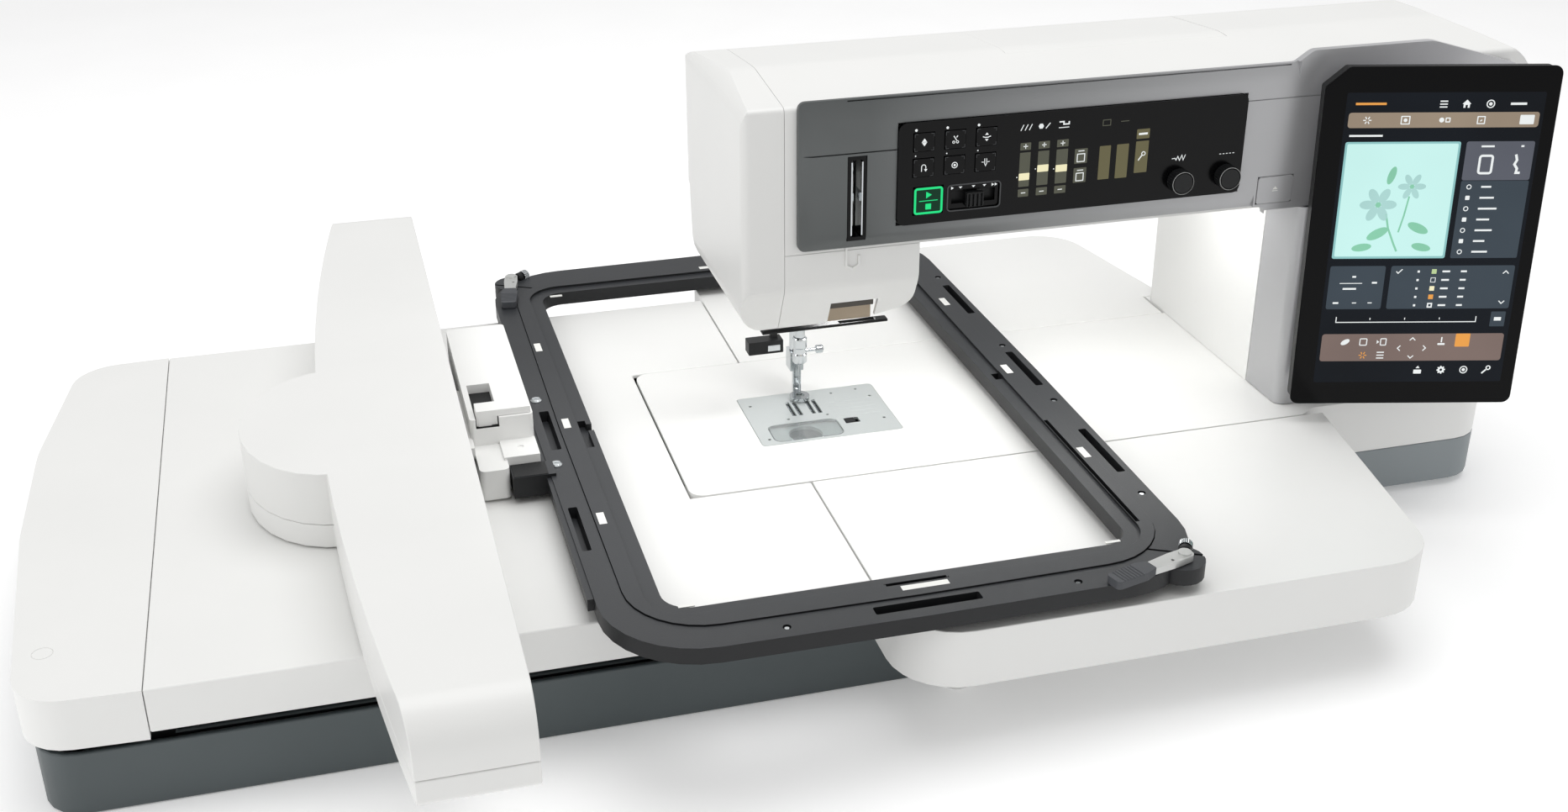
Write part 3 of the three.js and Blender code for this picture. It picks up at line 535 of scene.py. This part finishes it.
bars = [bar(a, b, low, high) for low, high in ((275.7, 299.7), (301.3, 306.4), (268.6, 274.0))
        for a, b, _ in COLUMNS]
bars += [bar(162.7, 172.0, 288.4, 298.8), bar(162.7, 172.0, 274.9, 285.3)]
printed("panel_bars", bars, "machine", PRINT["dim"], FACE, 0.06)
printed("panel_bars_tan", [bar(180.8, 189, 275.5, 299.2), bar(193.5, 202.3, 275.3, 299.3),
                           bar(207.5, 217, 277.8, 300.2), bar(207.5, 217, 301.9, 308.7)],
        "machine", PRINT["olive"], FACE, 0.06)
printed("panel_levels", [bar(a, b, z, z + 4.9) for a, b, z in COLUMNS], "machine", PRINT["cream"], FACE)
signs = []
for a, b, level in COLUMNS:
    m = (a + b) / 2
    signs += [stroke([(m - 1.6, z), (m + 1.6, z)], 0.55) for z in (303.9, 271.3)]
    signs += [stroke([(m, 304.4), (m, 305.5)], 0.55), stroke([(m, 303.4), (m, 302.3)], 0.55)]
    signs += [circle(a - 1.4, level + 2.4, 0.4, 10)]
signs += shifted([stroke([(x - 1, -2), (x + 1, 2)], 0.5) for x in (-2, 1, 4)], 125.5, 317)
signs += shifted([circle(-2, 0, 1.9, 6), stroke([(1.4, -1.8), (4.4, 1.8)], 0.6)], 139, 317)
signs += shifted([stroke([(-3.4, 1.8), (-0.2, 1.8), (-0.2, 0), (3.6, 0), (3.6, 1.8)], 0.9),
                  stroke([(-3.6, -2.2), (3.8, -2.2)], 0.5)], 153.4, 317)
for z in (289.4, 275.9):
    signs += [frame_of(164.4, 170.3, z, z + 6, 0.4, 0.6)]
signs += [stroke([(165.2, z), (169.6, z)], 0.6) for z in (297.2, 283.6)]
signs += [ring_of(213.6, 291.2, 1.6, 0.6, 16), stroke([(212.5, 290), (210, 286.6)], 0.8),
          stroke([(209, 305.3), (215.5, 305.3)], 1.4)]
printed("panel_signs", signs, "machine", PRINT["white"], FACE, 0.16)
printed("panel_signs_dim", [frame_of(181.6, 187.6, 313.2, 317.6, 0.3, 0.5),
                            stroke([(195, 315.4), (201, 315.4)], 0.5)], "machine", PRINT["dim"], FACE)

DIAL_Z, DIAL_FRONT = 269.8, -113.5
for name, body, x in (("dial_left", "left_dial", 241.6), ("dial_right", "right_dial", 277.4)):
    knurl = [(x + (8.55 - 0.35 * (k % 2)) * math.cos(math.tau * k / 64),
              DIAL_Z + (8.55 - 0.35 * (k % 2)) * math.sin(math.tau * k / 64)) for k in range(64)]
    face = turned("y", x, DIAL_Z, [(8.2, -105.4), (8.2, -113.1), (7.8, DIAL_FRONT)], 48)
    neck = rod("y", x, DIAL_Z, 4.4, -106, -100, 24)
    dress(name, (prism("y", knurl, -112.2, -105.4) + face) + neck, bevel=0.1, mat=M["black_matte"])
    ring = band("y", circle(x, DIAL_Z, 8.0, 48), circle(x, DIAL_Z, 6.9, 48), DIAL_FRONT, -113.0)
    # The ring is metal, but it takes the paler lever metal rather than chrome, so part of its brightness is a
    # painted reflection in its colour.
    piece(name + "_ring", ring, body, PRINT["lever"], bevel=0.1)
    piece(name + "_cap", rod("y", x, DIAL_Z, 6.8, -113.45, -113.1, 40), body, M["black_gloss"], bevel=0.1)
wave = [(-5, 0), (-2.6, 0.2), (-1.8, -1.2), (-0.6, 1.4), (0.8, -1.6), (2.4, 2.0), (3.6, -1.6), (5, 2.2)]
printed("dial_marks", shifted([stroke(wave, 0.45)], 240.5, 285.4)
        + [stroke([(x, 285.6), (x + 1.3, 285.6)], 0.4) for x in (271.5, 274, 276.5, 279, 281.5)],
        "machine", PRINT["white"], FACE)
dress("lid_open_button", bevel=0.6)
printed("open_picture", shifted([[(0, 1.9), (-2, -0.4), (2, -0.4)], stroke([(-2.2, -1.4), (2.2, -1.4)], 0.5)],
                                319, 255.5), "lid_button", PRINT["mark"], -103.9, 0.06)

# ---- touch screen -------------------------------------------------------------------------------
SCREEN = Matrix.Translation((333, -136.5, 100)) @ Matrix.Rotation(math.radians(-15), 4, "Z") \
    @ Matrix.Rotation(math.radians(-3.6), 4, "X")
dress("screen_glass", bevel=0.8, segments=3)
dress("screen_housing", bevel=1.5, segments=3,
      paint=(M["black_matte"], lambda c, n: (SCREEN.inverted() @ c).y < 14))
DISPLAY_LEFT, DISPLAY_TOP, DISPLAY_WIDTH, DISPLAY_HEIGHT = 18, 225, 131, 204


def spot(s, t):
    """A place on the display: s across from the left, t down from the top, both 0 to 1."""
    return (DISPLAY_LEFT + DISPLAY_WIDTH * s, DISPLAY_TOP - DISPLAY_HEIGHT * t)


def pane(s0, s1, t0, t1, r=1.5):
    (a, b), (c, d) = spot(s0, t1), spot(s1, t0)
    return rounded(a, c, b, d, r, 4)


def shown(name, shapes, mat, layer):
    """Higher layers stand a little further out of the glass."""
    printed("display_" + name, shapes, "machine", PRINT[mat], 0, 0.05 * layer, SCREEN)


def at(shapes, s, t, k=1.0):
    return shifted(shapes, *spot(s, t), k)


def dash(s, t, length, width=1.3):
    a, b = spot(s, t)
    return stroke([(a, b), (a + length, b)], width)


shown("ground", [pane(-0.02, 1.02, -0.02, 1.02)], "ground", 1)
shown("tan", [pane(0, 1, 0.048, 0.1, 2)], "tan", 2)
shown("brown", [pane(0, 1, 0.838, 0.94, 2)], "brown", 2)
shown("cards", [pane(0.64, 1, 0.285, 0.56, 1), pane(0, 0.3, 0.587, 0.745), pane(0.33, 1, 0.587, 0.745),
                pane(0.91, 0.99, 0.757, 0.812, 0.5)], "slate", 2)
shown("card_top", [pane(0.64, 1, 0.148, 0.283, 1.5)], "slate_light", 2)
shown("preview_rim", [pane(0, 0.61, 0.148, 0.56, 1.5)], "rim", 2)
shown("preview", [pane(0.012, 0.598, 0.155, 0.552, 1)], "cyan", 3)


def blossom(a, b, reach, long, short):
    """Six petals round a middle."""
    petals = []
    for turn in range(0, 360, 60):
        middle = Vector((a, b)) + Matrix.Rotation(math.radians(turn), 2) @ Vector((reach, 0))
        petals.append(ellipse(*middle, long, short, turn))
    return petals


shown("petals", blossom(46, 150, 7.4, 5.6, 3.2) + blossom(68, 163, 5.6, 4.2, 2.2), "petal", 4)
stems = [stroke([(52.5, 143), (55, 133), (60, 122), (63, 116)], 1.4),
         stroke([(67, 156), (65, 142), (62.5, 130)], 1.2)]
leaves = [ellipse(48, 129, 8, 3.4, 28), ellipse(76, 133, 8, 3.2, -24), ellipse(38, 119, 7, 2.8, 8),
          ellipse(80, 119, 7, 2.8, -12), ellipse(53, 171, 6.6, 2.6, 74)]
shown("leaves", stems + leaves + [circle(46, 150, 2.0), circle(68, 163, 1.6)], "leaf", 4)

menu = [stroke([(-2.6, h), (2.6, h)], 0.8) for h in (-2, 0, 2)]
house = [[(-3, 0), (0, 3), (3, 0), (2.1, 0), (2.1, -2.6), (0.8, -2.6), (0.8, -0.6), (-0.8, -0.6),
          (-0.8, -2.6), (-2.1, -2.6), (-2.1, 0)]]
disc = [ring_of(0, 0, 2.9, 0.7), circle(0, 0, 1.2, 14)]
teeth = [(3.1 if k % 4 < 2 else 2.3, math.tau * k / 32) for k in range(32)]
gear = [([(r * math.cos(t), r * math.sin(t)) for r, t in teeth], circle(0, 0, 1.0, 32))]
key = [ring_of(1.4, 1.4, 1.8, 0.8), stroke([(0, 0), (-2.9, -2.9)], 1.1)]
tray_icon = [rounded(-2.8, 2.8, -2.8, 0.2, 0.4, 2), [(0, 3.2), (-1.4, 1.4), (1.4, 1.4)]]
square = [frame_of(-2.8, 2.8, -2.8, 2.8, 1, 0.7)]
turn_up = [stroke([(-2, -1), (0, 1), (2, -1)], 0.7)]
turn_down = [stroke([(-2, 1), (0, -1), (2, 1)], 0.7)]
turn_left = [stroke([(1, -2), (-1, 0), (1, 2)], 0.7)]
turn_right = [stroke([(-1, -2), (1, 0), (-1, 2)], 0.7)]
spark = [stroke([(2.8 * math.cos(a), 2.8 * math.sin(a)), (1.0 * math.cos(a), 1.0 * math.sin(a))], 0.7)
         for a in (k * math.tau / 6 for k in range(6))]

signs = at(menu, 0.49, 0.02) + at(house, 0.61, 0.02) + at(disc, 0.735, 0.02) + [dash(0.84, 0.02, 11, 1.6)]
signs += at(spark, 0.1, 0.074) + at([frame_of(-3.2, 3.2, -3, 3, 0.6, 0.7), circle(0, 0, 1.3, 12)], 0.3, 0.074)
signs += at([circle(-2, 0, 1.7, 14), frame_of(0.6, 4, -1.7, 1.7, 0.4, 0.7)], 0.505, 0.074)
signs += at([frame_of(-3.2, 2.4, -3, 2.6, 0.4, 0.7), stroke([(0.2, 0), (-0.9, -1)], 0.8)], 0.7, 0.074)
signs += [pane(0.9, 0.975, 0.058, 0.09, 0.6)]
signs += [dash(0.015, 0.127, 23), dash(0.72, 0.165, 9), dash(0.93, 0.165, 2)]
signs += at([frame_of(-5.2, 5.2, -7, 7, 2.4, 1.6)], 0.755, 0.228)
signs += at([stroke([(-1.4, 7), (-0.2, 3), (-1.6, 0), (0.6, -3), (0.2, -6), (3, -6)], 1.7)], 0.92, 0.228)
for k in range(7):
    t = 0.306 + k * 0.0385
    signs += at([rounded(-1.5, 1.5, -1.5, 1.5, 0.4, 2)] if k % 2 else [ring_of(0, 0, 1.8, 0.6, 14)], 0.685, t)
    signs += [dash(0.75, t, 7 + (3 * k) % 7)]
signs += [dash(0.06, 0.65, 16, 0.5), dash(0.125, 0.626, 2.6), dash(0.08, 0.67, 9.5), dash(0.235, 0.648, 3.6)]
signs += [dash(0.035, 0.722, 4), dash(0.14, 0.722, 3, 0.7), dash(0.225, 0.722, 3, 0.7)]
signs += at([stroke([(-2, 0.2), (-0.6, -1.2), (2.2, 1.8)], 0.7)], 0.375, 0.608)
for k in range(5):
    t = 0.608 + k * 0.031
    signs += [dash(0.475, t, 1.6, 1.5), dash(0.61, t, 5.4), dash(0.71, t, 4.2)]
signs += at(turn_up, 0.955, 0.612) + at(turn_down, 0.955, 0.722)
signs += [stroke([spot(0.065, 0.774), spot(0.065, 0.794), spot(0.83, 0.794), spot(0.83, 0.774)], 0.6)]
signs += [stroke([spot(s, 0.778), spot(s, 0.785)], 0.6) for s in (0.25, 0.44, 0.63)]
signs += [dash(0.93, 0.784, 5, 2.6)]
signs += at(square, 0.23, 0.868) + at([ellipse(0, 0, 3.4, 1.8, 30)], 0.13, 0.868)
signs += at([frame_of(-1, 3.6, -2.8, 2.8, 0.8, 0.7), [(-1.6, 0), (-3.4, 1.4), (-3.4, -1.4)]], 0.33, 0.868)
signs += at([stroke([(-2.4, h), (2.8, h)], 0.8) for h in (-2.2, 0, 2.2)], 0.33, 0.918)
signs += at(turn_up, 0.5, 0.858) + at(turn_down, 0.5, 0.925)
signs += at(turn_left, 0.43, 0.892) + at(turn_right, 0.57, 0.892)
signs += at([stroke([(0, 3), (0, -1)], 0.9), rounded(-2.6, 2.6, -3, -1.6, 0.4, 2)], 0.66, 0.866)
signs += at(tray_icon, 0.55, 0.975) + at(gear, 0.68, 0.975) + at(disc, 0.805, 0.975) + at(key, 0.93, 0.975)
shown("signs", signs, "white", 4)

CHIPS = 0.565  # how far across the thread colours stand
chip = [rounded(-1.7, 1.7, -1.7, 1.7, 0.2, 2)]
shown("amber", at([rounded(-5.2, 5.2, -5, 5, 0.6, 2)], 0.775, 0.863) + at(spark, 0.235, 0.918)
      + [dash(0.03, 0.018, 21, 1.6)] + at(chip, CHIPS, 0.701), "amber", 4)
shown("lime", at(chip, CHIPS, 0.608), "lime", 4)
shown("cream", at(chip, CHIPS, 0.67), "cream", 4)
shown("chip_rims", at([frame_of(-1.8, 1.8, -1.8, 1.8, 0.2, 0.4)], CHIPS, 0.639)
      + at([frame_of(-1.8, 1.8, -1.8, 1.8, 0.2, 0.9)], CHIPS, 0.732), "white", 5)

# ---- needle, foot and bobbin area ---------------------------------------------------------------
dress("needle_bar", rod("z", 0, 0, 4, 136, 300, 40), bevel=0.3)
dress("presser_bar", rod("z", 0, 14, 4, 120, 290, 40), bevel=0.3)
clamp = turned("z", 0, 0, [(4.6, 115), (5.4, 116), (5.4, 122), (4.7, 123), (4.7, 127), (5.4, 128),
                           (5.4, 134.6), (4.6, 135.7)], 40)
screw_head = turned("x", 0, 124, [(2.6, 12.4), (3.2, 13), (3.2, 17.2), (2.6, 17.9)], 24)
dress("needle_clamp", clamp + rod("x", 0, 124, 1.3, 3, 13, 20) + screw_head, bevel=0.1)
dress("needle", bevel=0)
dress("embroidery_foot", bevel=0.3)
dress("needle_threader", bevel=1.0, segments=3)
piece("threader_sleeve", box(-30, -20.5, -21, -8.5, 136, 141), "threader", M["chrome"], bevel=0.6)
dress("take_up_lever", bevel=0.4)
dress("needle_lamp", bevel=0.5)

PLATE_TOP = 84
LINE = 0.35  # width of the plate's engraved lines
plate = cad("needle_plate")
for y in range(-12, -37, -6):
    plate = plate - box(17, 52, y, y + LINE, PLATE_TOP - 0.1, PLATE_TOP + 2)
for x in range(19, 50, 6):
    plate = plate - box(x, x + LINE, -9, -5, PLATE_TOP - 0.1, PLATE_TOP + 2)
holes = [(-39, -2), (-39, -58), (52, -46), (46, 6), (26, 4), (53, -8), (-17, -30), (13, -30)]
for x, y in holes:
    plate = plate - rod("z", x, y, 1.2, PLATE_TOP - 0.8, PLATE_TOP + 2, 16)
dress("needle_plate", plate, mat=PRINT["plate"], bevel=0.2)
# Black discs just under the plate's face fill the shallow holes: painted shade for the depth of the holes.
hole_shade_discs = [rod("z", x, y, 1.1, PLATE_TOP - 0.8, PLATE_TOP - 0.6, 16) for x, y in holes]
piece("plate_hole_shade", gather(hole_shade_discs), "machine", M["black_matte"], bevel=0)

dress("bobbin_cover", bevel=0.3)
dress("cover_latch", bevel=0.3)
BOBBIN = (-9.5, -50)
holder = prism("z", rounded(-38, 19, -66, -35, 6), 77, 79.5) - rod("z", *BOBBIN, 12.5, 60, 80)
piece("bobbin_holder", holder, "machine", PRINT["holder"], bevel=0.5)
dress("bobbin", bevel=0.3)
dress("rotary_hook", bevel=0.5)
thread = turned("z", *BOBBIN, [(4.7, 53.6), (8.4, 53.6), (8.4, 61.6), (4.7, 61.6)], 32)
thread_finish = material("thread", "dfe6e2", 0.8, spread=0.05, grain=3000, bump=0.6, stretch=(1, 1, 30))
piece("bobbin_thread", thread, "bobbin_body", thread_finish, bevel=0.3)
pins = [box(512.5, 519, y - 0.9, y + 0.9, 59, 63) for y in (46, 51, 56)]
piece("power_inlet_pins", gather(pins), "machine", M["steel"], bevel=0.2)

# ---- tables and embroidery unit -----------------------------------------------------------------
dress("front_table", bevel=0.9, segments=3)
dress("rear_table", bevel=0.9, segments=3)
dress("unit_cover", bevel=1.8, segments=3)
plug_groove = band("z", circle(-520, -206, 6.2, 40), circle(-520, -206, 5.8, 40), 83.5, 86)
dress("unit_end_cap", cad("unit_end_cap") - plug_groove, bevel=5.0, segments=5, angle=40)
SHADOW_GAP = 43.4  # height above which the slate riser under the unit's cover is painted black as shade
dress("unit_base", bevel=1.6, segments=3, paint=(M["black_matte"], lambda c, n: c.z > SHADOW_GAP))
dress("carriage_arm_cover", bevel=0.7, segments=3)
dress("carriage_arm_tray", bevel=1.0)
pin_hole = rod("z", -219, -70, 2.2, 109, 112, 24)
dress("hoop_carriage", cad("hoop_carriage") - pin_hole, bevel=1.4, segments=3)
lever_neck = box(-246.2, -231.8, -55.6, -42.4, 121.8, 129)
dress("release_lever", cad("release_lever") + lever_neck, bevel=1.0, segments=3)
slot_floor = box(-246.8, -231.2, -57.8, -1.2, 121.05, 121.3)
piece("block_slot_floor", slot_floor, "y_carriage", M["black_matte"], bevel=0)

# ---- hoop ---------------------------------------------------------------------------------------
HOOP_X, HOOP_Y, TOP = -13.5, -34.5, 103.0
LIP = 100.9  # height of the step along the inner ring's window
POCKETS = [(-194, -35.5, 7, 62), (-197, -178.5, 6, 57), (168.5, 111, 6, 62), (168.5, -30, 6, 62),
           (168.5, -169, 6, 66), (-12.5, -321.5, 67, 8)]
outer = cad("hoop_outer_ring")
for x, y, w, d in POCKETS:
    rings = []
    for z, e in ((TOP - 9, 0.8), (TOP + 1, -0.2)):
        edge = rounded(x - w / 2 + e, x + w / 2 - e, y - d / 2 + e, y + d / 2 - e, 1.2, 3)
        rings.append([(a, b, z) for a, b in edge])
    outer = outer - loft(rings)

RIVETS = [(168.7, 161), (168.7, 14), (168.7, -87), (168.7, -232.6), (83, -323.5), (-100, -323.5)]
for x, y in RIVETS:
    outer = outer - rod("z", x, y, 2.6, 98, 105, 24)
for x, y in ((157, -309), (-184, 240)):
    place = Matrix.Translation((x, y, 0)) @ Matrix.Rotation(math.radians(-28), 4, "Z")
    outer = outer - box(-24, 24, -1, 1, 96.5, 106).moved(place)
# The rings' sides, the faces that do not look up, take the darker hoop finish as painted shade.
hoop_shaded_sides = (M["hoop_side_shade"], lambda c, n: n.z < 0.5)
dress("hoop_outer_ring", outer, bevel=0.8, segments=3, paint=hoop_shaded_sides)

lip = rounded(HOOP_X - 160.5, HOOP_X + 160.5, HOOP_Y - 262, HOOP_Y + 262, 27, 12)
inner = cad("hoop_inner_ring") - prism("z", lip, LIP, 110)
for x0, x1, y0, y1 in ((-173, -167.5, -67, -25), (-31, 9, -299, -293), (147.4, 150.2, -268, -118),
                       (-167.5, -163, -41, -31), (141.5, 147.4, -41, -31)):
    inner = inner - box(x0, x1, y0, y1, 95.5, 110)
# The inner ring's sides get the same painted shade.
dress("hoop_inner_ring", inner, bevel=0.6, segments=3, paint=hoop_shaded_sides)
marks = [(x, y, 5, 15) for x in (-181.4, 154.6) for y in (106.5, -30, -171)]
marks += [(-8, -303.5, 30, 5), (-8, 234.5, 30, 5)]
piece("hoop_marks", gather([box(x - w / 2, x + w / 2, y - d / 2, y + d / 2, TOP - 0.5, TOP + 0.12)
                            for x, y, w, d in marks]), "y_carriage", PRINT["mark"], bevel=0)
lip_marks = [box(x - 5, x + 5, y - 1.3, y + 1.3, LIP - 0.5, LIP + 0.15)
             for x, y in ((-151, 211.5), (124, 211.5), (-151, -284), (124, -284))]
piece("hoop_lip_marks", gather(lip_marks), "y_carriage", PRINT["mark"], bevel=0)
screws = [turned("z", x, y, [(4.2, 101.8), (4.2, 102.6), (3.2, 103.6)], 32)
          - box(x - 3, x + 3, y - 0.5, y + 0.5, 103.0, 105) for x, y in ((-196.5, 14.6), (-197.7, -88.3))]
screws += [rod("z", x, y, 1.5, 97.5, 101.2, 20) for x, y in RIVETS]
piece("hoop_screws", gather(screws), "y_carriage", M["chrome"], bevel=0.1)
connector = box(-228.4, -205, -103.6, -85, 102.5, 104.6)
piece("connector_cover", connector, "y_carriage", M["black_matte"], bevel=0.6)

BARREL_TURN = math.radians(136.6)  # from the lever to the barrel, about the pin


def clamp_lever(name, pin, reach, side):
    """A lever on its pin with a ribbed grip, and the threaded barrel and nut that it pulls on.
    reach goes from the pin to the tip, and side says on which side the barrel stands."""
    along = Vector(reach)
    length = along.length
    heading = math.atan2(along.y, along.x)
    turn = Matrix.Translation((*pin, 0)) @ Matrix.Rotation(heading, 4, "Z")
    blade = prism("z", outline([(-5, -5, 4), (10, -5.6), (0.52 * length, -4.2), (0.52 * length, 4.2),
                                (10, 5.6), (-5, 5, 4)]), 102.6, 107.0)
    blade = blade - rod("z", 12, 2.2, 1.1, 100, 110, 16) + rod("z", 0, 0, 4.2, 102.4, 108.2, 28)
    dress(name + "_lever", blade.moved(turn), mat=PRINT["lever"], bevel=0.5, segments=3)

    half = [(0.46, 4.6, 1), (0.6, 6.8, 3), (0.985, 6, 3)]
    edge = [(k * length, -w, r) for k, w, r in half] + [(k * length, w, r) for k, w, r in reversed(half)]
    grip = prism("z", outline(edge), 102.4, 107.9)
    for k in range(7):
        x = (0.66 + 0.04 * k) * length
        grip = grip - box(x, x + 1.0, -8, 8, 107.3, 109)
    piece(name + "_grip", grip.moved(turn), name, PRINT["rubber"], bevel=0.4, segments=3)

    place = Matrix.Translation((*pin, 103.4)) @ Matrix.Rotation(heading + side * BARREL_TURN, 4, "Z")
    barrel = turned("x", 0, 0, [(3.4, 6.6), (4.2, 7.2), (4.2, 10.6), (3.0, 11.4)], 28)
    nut = [((4.3, 4.7)[k % 2], math.tau * k / 48) for k in range(48)]
    wheel = prism("x", [(r * math.cos(t), r * math.sin(t)) for r, t in nut], 12.2, 17.2)
    wheel = wheel + rod("x", 0, 0, 2.2, 10.8, 18.8, 24)
    piece(name + "_barrel", barrel.moved(place), "y_carriage", M["black_matte"], bevel=0.2)
    piece(name + "_nut", wheel.moved(place), "y_carriage", M["chrome"], bevel=0.15)


clamp_lever("front_clamp", (156, -318), (-57, -17), -1)
clamp_lever("rear_clamp", (-183, 249), (-10, -58), 1)

for node in frame["nodes"]:
    if node not in done:
        dress(node)

# ---- floor, light and camera -----------------------------------------------------------------
FLOOR_REACH = 12  # metres to each side
FLOOR_DROP = 0.5 * MM  # below the feet
FLOOR_GLOW = 0.2
SKY = 0.56
WHITE = (1, 1, 1, 1)
floor_material = material("floor", "fafafa", 0.6, spread=0.01, bump=0.0)
floor_shader = floor_material.node_tree.nodes["Principled BSDF"]
floor_shader.inputs["Emission Color"].default_value = WHITE
floor_shader.inputs["Emission Strength"].default_value = FLOOR_GLOW
bm = bmesh.new()
bmesh.ops.create_grid(bm, x_segments=8, y_segments=8, size=FLOOR_REACH)
floor_mesh = bpy.data.meshes.new("floor")
bm.to_mesh(floor_mesh)
bm.free()
floor = bpy.data.objects.new("floor", floor_mesh)
floor.location.z = -FLOOR_DROP
floor_mesh.materials.append(floor_material)
scene.collection.objects.link(floor)

world = bpy.data.worlds.new("studio")
world.use_nodes = True
world.node_tree.nodes["Background"].inputs["Color"].default_value = WHITE
world.node_tree.nodes["Background"].inputs["Strength"].default_value = SKY
scene.world = world


def lamp(name, place, aim, size, watts):
    light = bpy.data.lights.new(name, "AREA")
    light.shape, light.size, light.size_y, light.energy = "RECTANGLE", size[0], size[1], watts
    obj = bpy.data.objects.new(name, light)
    obj.location = place
    obj.rotation_mode = "QUATERNION"
    obj.rotation_quaternion = (Vector(aim) - Vector(place)).to_track_quat("-Z", "Y")
    obj.visible_camera = False
    scene.collection.objects.link(obj)


def over_bed(x, y, z):
    return NEEDLE + Vector((x, y, z)) * MM


lamp("overhead", (0.3, 0.15, 2.1), (0.25, 0.05, 0), (2.2, 1.5), 23)
lamp("side", (-1.9, -0.45, 1.25), (0, 0, 0.1), (1.4, 1.2), 10)
lamp("bed", over_bed(190, -30, 234), over_bed(190, -30, 0), (0.27, 0.1), 0.27)
lamp("hoop", over_bed(-95, -60, 166), over_bed(-95, -60, 0), (0.26, 0.42), 0.14)
lamp("needle_area", over_bed(20, -32, 190), over_bed(10, -60, PLATE_TOP), (0.03, 0.02), 0.06)

# The camera's place, direction and lens, worked out from straight edges of the machine.
EYE = over_bed(-331.55, -1158.46, 670.70)
LENS, SENSOR = 40.70, 36
YAW, PITCH, ROLL = (math.radians(a) for a in (15.412, -26.179, -0.176))
forward = Vector((math.sin(YAW) * math.cos(PITCH), math.cos(YAW) * math.cos(PITCH), math.sin(PITCH)))
level = Vector((math.cos(YAW), -math.sin(YAW), 0))
up = level.cross(forward)
right = level * math.cos(ROLL) + up * math.sin(ROLL)
up = up * math.cos(ROLL) - level * math.sin(ROLL)
camera_data = bpy.data.cameras.new("camera")
camera_data.lens = LENS
camera_data.sensor_width = SENSOR
camera_data.clip_start = 0.01
camera = bpy.data.objects.new("camera", camera_data)
camera.matrix_world = Matrix.Translation(EYE) @ Matrix((right, up, -forward)).transposed().to_4x4()
scene.collection.objects.link(camera)
scene.camera = camera
scene.view_settings.view_transform = "Standard"
